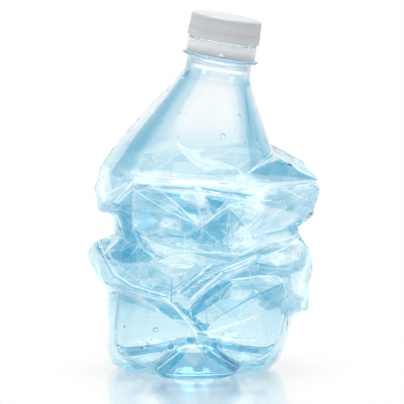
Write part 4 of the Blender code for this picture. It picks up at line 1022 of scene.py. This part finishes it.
class BOTTLE_OT_closure(bpy.types.Operator):
    """Builds the ribbed cap and the half-clear tamper ring"""
    bl_idname = "bottle.closure"
    bl_label = "Cap and tamper ring"

    def execute(self, context):
        closure = settings("bottle_closure")
        place = TurnedPlace("cap")
        radius, height = place.radius / MM, place.height / MM
        bm = spun(cap_outline(radius, height), CAP_STEPS, closed=False)
        add_grip(bm, radius, height, closure.grip_ribs, closure.rib_depth)
        mark_plastic(bm, radius - 1.4, height, CAP_SHADES)
        cap = finished_turned(bm, "cap", "screw_cap", moulded_material(
            "cap_plastic", closure.cap_colour, 0.42, 0.0, 0.12), math.radians(50))
        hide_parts("cap")
        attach(cap, "cap")
        place = TurnedPlace("tamper_band")
        radius, height = place.radius / MM, place.height / MM
        bm = spun(ring_outline(radius, height), RING_STEPS, closed=True)
        add_bridges(bm, radius, height)
        mark_plastic(bm, radius - 0.7, height, RING_SHADES)
        ring = finished_turned(bm, "tamper_band", "tamper_ring", moulded_material(
            "ring_plastic", closure.ring_colour, 0.35, 1.0, 0.05), math.radians(30))
        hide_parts("tamper_band")
        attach(ring, "bottle")
        bm = bmesh.new()
        add_mark(bm, radius)
        mark = finished_turned(bm, "tamper_band", "ring_mark", moulded_material(
            "mark_plastic", (0.95, 0.95, 0.95), 0.35, 0.0, 0.05), math.radians(30))
        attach(mark, "bottle")
        bm = thread_ridge(THREAD_RADIUS, THREAD_TURNS, THREAD_RISE)
        bm.transform(Matrix.Translation((0.0, 0.0, THREAD_START * MM)))
        thread = finished_turned(bm, "tamper_band", "neck_thread",
                                 bpy.data.materials["clear_blue_wall"], math.radians(40))
        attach(thread, "bottle")
        return {"FINISHED"}


# ---------------------------------------------------------------- droplets

# Larger droplets on the front of the wall: (x, height, radius), all in millimetres.
FRONT_DROPLETS = (
    (7.7, 102.5, 1.30), (-20.0, 22.0, 1.25), (4.9, 35.7, 1.15), (-27.9, 81.2, 0.70),
    (-10.6, 102.5, 0.60), (-14.8, 112.2, 0.45), (-42.3, 83.3, 0.65), (-3.8, 125.7, 0.50),
    (38.6, 52.2, 1.00), (16.2, 73.3, 0.75), (23.4, 76.7, 0.60), (31.6, 75.9, 1.00),
    (19.4, 66.3, 1.10), (-25.6, 40.4, 0.50), (-35.3, 56.5, 0.65), (-29.7, 56.1, 0.75),
    (-44.0, 52.8, 0.55), (-33.5, 21.3, 0.50), (-22.1, 17.5, 0.40), (5.3, 22.0, 0.40),
    (7.7, 20.4, 0.40), (10.6, 21.2, 0.40), (11.8, 19.1, 0.35), (26.3, 19.3, 0.40),
    (21.8, 9.8, 0.65), (14.6, 27.0, 0.40), (13.4, 27.8, 0.35), (2.4, 6.7, 0.65),
    (13.9, 6.8, 0.40), (-6.2, 12.6, 0.40), (-12.6, 93.6, 0.35), (8.9, 72.9, 0.50),
    (11.3, 57.4, 0.50), (8.1, 56.9, 0.60), (12.1, 61.4, 0.40), (-21.5, 68.7, 0.40),
    (-30.2, 65.1, 0.50), (-23.7, 60.9, 0.60), (-12.6, 44.9, 0.40), (-4.9, 40.7, 0.90),
    (-3.3, 29.1, 0.50), (34.7, 35.0, 0.50), (39.3, 34.3, 0.50), (24.4, 28.6, 0.40),
)


# How high a droplet stands and where its middle lies, in radii, and the heights in millimetres
# between which the small ones are scattered.
DROP_HEIGHT, DROP_LIFT, DROPS_FROM, DROPS_TO = 0.55, 0.45, 8, 126


def add_droplet(bm, spot, normal, radius, rng):
    turn = normal.to_track_quat("Z", "Y").to_matrix().to_4x4()
    width = radius * rng.uniform(0.9, 1.15)
    size = Matrix.Diagonal((radius, width, radius * DROP_HEIGHT, 1.0))
    place = Matrix.Translation(spot + normal * DROP_LIFT * radius)
    bmesh.ops.create_icosphere(bm, subdivisions=2, radius=1.0, matrix=place @ turn @ size)


def wall_hit(tree, start, direction):
    spot, normal, _, _ = tree.ray_cast(start, direction)
    if spot is None:
        return None
    return spot, normal if normal.dot(direction) < 0 else -normal


class BOTTLE_OT_droplets(bpy.types.Operator):
    """Puts small water droplets on the outside of the wall"""
    bl_idname = "bottle.droplets"
    bl_label = "Droplets"

    def execute(self, context):
        drops = settings("bottle_droplets")
        graph = context.evaluated_depsgraph_get()
        tree = BVHTree.FromObject(bpy.data.objects["bottle_wall"], graph)
        rng = random.Random(drops.seed)
        bm = bmesh.new()
        for x, height, radius in FRONT_DROPLETS:
            hit = wall_hit(tree, Vector((x, -200, height)) * MM, Vector((0, 1, 0)))
            if hit:
                add_droplet(bm, *hit, radius * MM, rng)
        for _ in range(drops.count):
            bearing = rng.uniform(0, 2 * math.pi)
            height = rng.uniform(DROPS_FROM, DROPS_TO) * MM
            radius = drops.smallest + (drops.largest - drops.smallest) * rng.random() ** 2.5
            away = Vector((math.cos(bearing), math.sin(bearing), 0))
            centre = WALL_AXIS + Vector((0, 0, height))
            hit = wall_hit(tree, centre + away * 0.2, -away)
            if hit:
                add_droplet(bm, *hit, radius, rng)
        piece = new_piece("droplets", mesh_from(bm, "droplets"), water_material())
        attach(piece, "bottle")
        return {"FINISHED"}


# ---------------------------------------------------------------- stage

FLOOR_ROUGHNESS, FLOOR_MIRROR, FLOOR_GLOW = 0.14, 0.62, 0.55
# The room that reflections meet, between its windows and further round, and the plain light.
ROOM_SIDE, ROOM_CORNER, PLAIN = ((0.05, 0.27, 0.42, 1.0), (0.12, 0.42, 0.60, 1.0),
                                 (0.62, 0.63, 0.64, 1.0))
# Lamps: name, place, width, height, power, and whether the bottle mirrors it.
LAMPS = (("top_softbox", (0.0, 0.15, 0.75), 0.35, 0.3, 2.6, True),
         ("left_softbox", (-0.6, -0.5, 0.45), 0.25, 0.5, 1.9, False),
         ("right_softbox", (0.65, -0.35, 0.40), 0.2, 0.5, 1.0, False))
LAMP_AIM, CAMERA_AIM = Vector((0.0, 0.0, 0.08)), Vector((-0.85 * MM, 0.0, 71.2 * MM))


def mixed(tree, share, one, other):
    """Two shaders, by the share that the second one has."""
    return add(tree, "MixShader", {0: share, 1: one, 2: other}).outputs[0]


def seen_rays(tree):
    """The kinds of ray, then 1 for camera and transmitted rays, then 1 for glossy ones too."""
    path = add(tree, "LightPath").outputs
    through = larger(tree, path["Is Camera Ray"], path["Is Transmission Ray"])
    return path, through, larger(tree, through, path["Is Glossy Ray"])


def make_world():
    """White behind the bottle and low down; high up, reflections meet a blue room with white
    windows instead."""
    world = bpy.data.worlds.new("studio")
    bpy.context.scene.world = world
    world.use_nodes = True
    tree = world.node_tree
    tree.nodes.clear()
    place = add(tree, "TexCoord").outputs["Generated"]
    parts = add(tree, "SeparateXYZ", {0: place}).outputs
    away = add(tree, "Math", {0: product(tree, parts["X"], parts["Y"])}, operation="ABSOLUTE")
    raised = spread(tree, parts["Z"], 0.28, 0.40, 0.0, 1.0)
    ramp = add(tree, "ValToRGB", {"Fac": product(tree, away.outputs[0], raised)})
    window, wall = ramp.color_ramp.elements
    window.position, window.color = 0.20, WHITE
    wall.position, wall.color = 0.36, ROOM_SIDE
    ramp.color_ramp.elements.new(0.5).color = ROOM_CORNER
    room, plain, white = (add(tree, "Background", {"Color": colour}).outputs[0]
                          for colour in (ramp.outputs["Color"], PLAIN, WHITE))
    path, through, _ = seen_rays(tree)
    mirrored = add(tree, "Math", {0: path["Glossy Depth"], 1: 0.5}, operation="GREATER_THAN")
    around = mixed(tree, mirrored.outputs[0], mixed(tree, through, plain, white), room)
    feed(tree, tree.nodes.new("ShaderNodeOutputWorld"), {"Surface": around})


def floor_material(colour):
    """Polished white near the bottle, fading to plain white further out."""
    material = bpy.data.materials.new("polished_floor")
    material.use_nodes = True
    tree = material.node_tree
    tree.nodes.clear()
    glow = add(tree, "Emission", {"Color": WHITE}).outputs[0]
    matt = add(tree, "BsdfDiffuse", {"Color": (*colour, 1.0)}).outputs[0]
    gloss = add(tree, "BsdfGlossy", {"Color": WHITE, "Roughness": FLOOR_ROUGHNESS}).outputs[0]
    place = add(tree, "TexCoord").outputs["Object"]
    far = add(tree, "VectorMath", {0: place}, operation="LENGTH").outputs["Value"]
    smooth = {"interpolation_type": "SMOOTHSTEP"}
    lit = product(tree, spread(tree, far, 0.045, 0.11, FLOOR_GLOW, 1.0, **smooth),
                  seen_rays(tree)[2])
    mirror = spread(tree, far, 0.06, 0.20, FLOOR_MIRROR, 0.0, **smooth)
    surface = mixed(tree, mirror, mixed(tree, lit, matt, glow), gloss)
    feed(tree, tree.nodes.new("ShaderNodeOutputMaterial"), {"Surface": surface})
    return material


def make_floor(colour):
    bm = bmesh.new()
    bmesh.ops.create_circle(bm, cap_ends=True, segments=64, radius=6.0)
    floor = new_piece("floor", mesh_from(bm, "floor"), floor_material(colour))


def make_lamp(name, place, width, height, power, mirrored):
    """A soft lamp aimed at the bottle. One that isn't mirrored leaves no highlight."""
    light = bpy.data.lights.new(name, "AREA")
    light.shape = "RECTANGLE"
    light.size = width
    light.size_y = height
    light.energy = power
    lamp = bpy.data.objects.new(name, light)
    bpy.context.scene.collection.objects.link(lamp)
    lamp.location = place
    lamp.visible_glossy = mirrored
    aim = LAMP_AIM - lamp.location
    lamp.rotation_euler = aim.to_track_quat("-Z", "Y").to_euler()


def make_camera(stage):
    data = bpy.data.cameras.new("camera")
    camera = bpy.data.objects.new("camera", data)
    bpy.context.scene.collection.objects.link(camera)
    back = Vector((0.0, -math.cos(stage.elevation), math.sin(stage.elevation)))
    camera.location = CAMERA_AIM + back * stage.distance
    camera.rotation_euler = (-back).to_track_quat("-Z", "Y").to_euler()
    data.sensor_width = 36.0
    data.lens = data.sensor_width * stage.distance / stage.view_width
    data.clip_start = 0.01
    data.clip_end = 20.0
    bpy.context.scene.camera = camera


def set_light_paths():
    """Clear walls behind clear walls need many bounces before they show the backdrop."""
    cycles = bpy.context.scene.cycles
    cycles.max_bounces = 64
    cycles.transmission_bounces = 48
    cycles.glossy_bounces = 40
    cycles.transparent_max_bounces = 16
    cycles.caustics_reflective = False


class BOTTLE_OT_stage(bpy.types.Operator):
    """Sets up the floor, the studio light and the camera"""
    bl_idname = "bottle.stage"
    bl_label = "Stage"

    def execute(self, context):
        stage = settings("bottle_stage")
        make_world()
        make_floor(stage.floor_colour)
        for lamp in LAMPS:
            make_lamp(*lamp)
        make_camera(stage)
        set_light_paths()
        context.scene.view_settings.view_transform = "Standard"
        return {"FINISHED"}


# ---------------------------------------------------------------- add-on

class BOTTLE_PT_panel(bpy.types.Panel):
    bl_label = "Crushed bottle"
    bl_idname = "BOTTLE_PT_panel"
    bl_space_type = "VIEW_3D"
    bl_region_type = "UI"
    bl_category = "Bottle"

    def draw(self, context):
        for operator in OPERATORS:
            self.layout.operator(operator.bl_idname)
        for name, group in SETTINGS.items():
            box = self.layout.box()
            for field in group.__annotations__:
                box.prop(getattr(context.scene, name), field)


SETTINGS = {
    "bottle_wall": WallSettings,
    "bottle_closure": ClosureSettings,
    "bottle_droplets": DropletSettings,
    "bottle_stage": StageSettings,
}
OPERATORS = (BOTTLE_OT_wall, BOTTLE_OT_closure, BOTTLE_OT_droplets, BOTTLE_OT_stage)


def register():
    for group in (*SETTINGS.values(), *OPERATORS, BOTTLE_PT_panel):
        bpy.utils.register_class(group)
    for name, group in SETTINGS.items():
        setattr(bpy.types.Scene, name, PointerProperty(type=group))


def unregister():
    for name in SETTINGS:
        delattr(bpy.types.Scene, name)
    for group in reversed((*SETTINGS.values(), *OPERATORS, BOTTLE_PT_panel)):
        bpy.utils.unregister_class(group)


def main():
    register()
    bpy.ops.bottle.wall()
    bpy.ops.bottle.closure()
    bpy.ops.bottle.droplets()
    bpy.ops.bottle.stage()


if __name__ == "__main__":
    main()
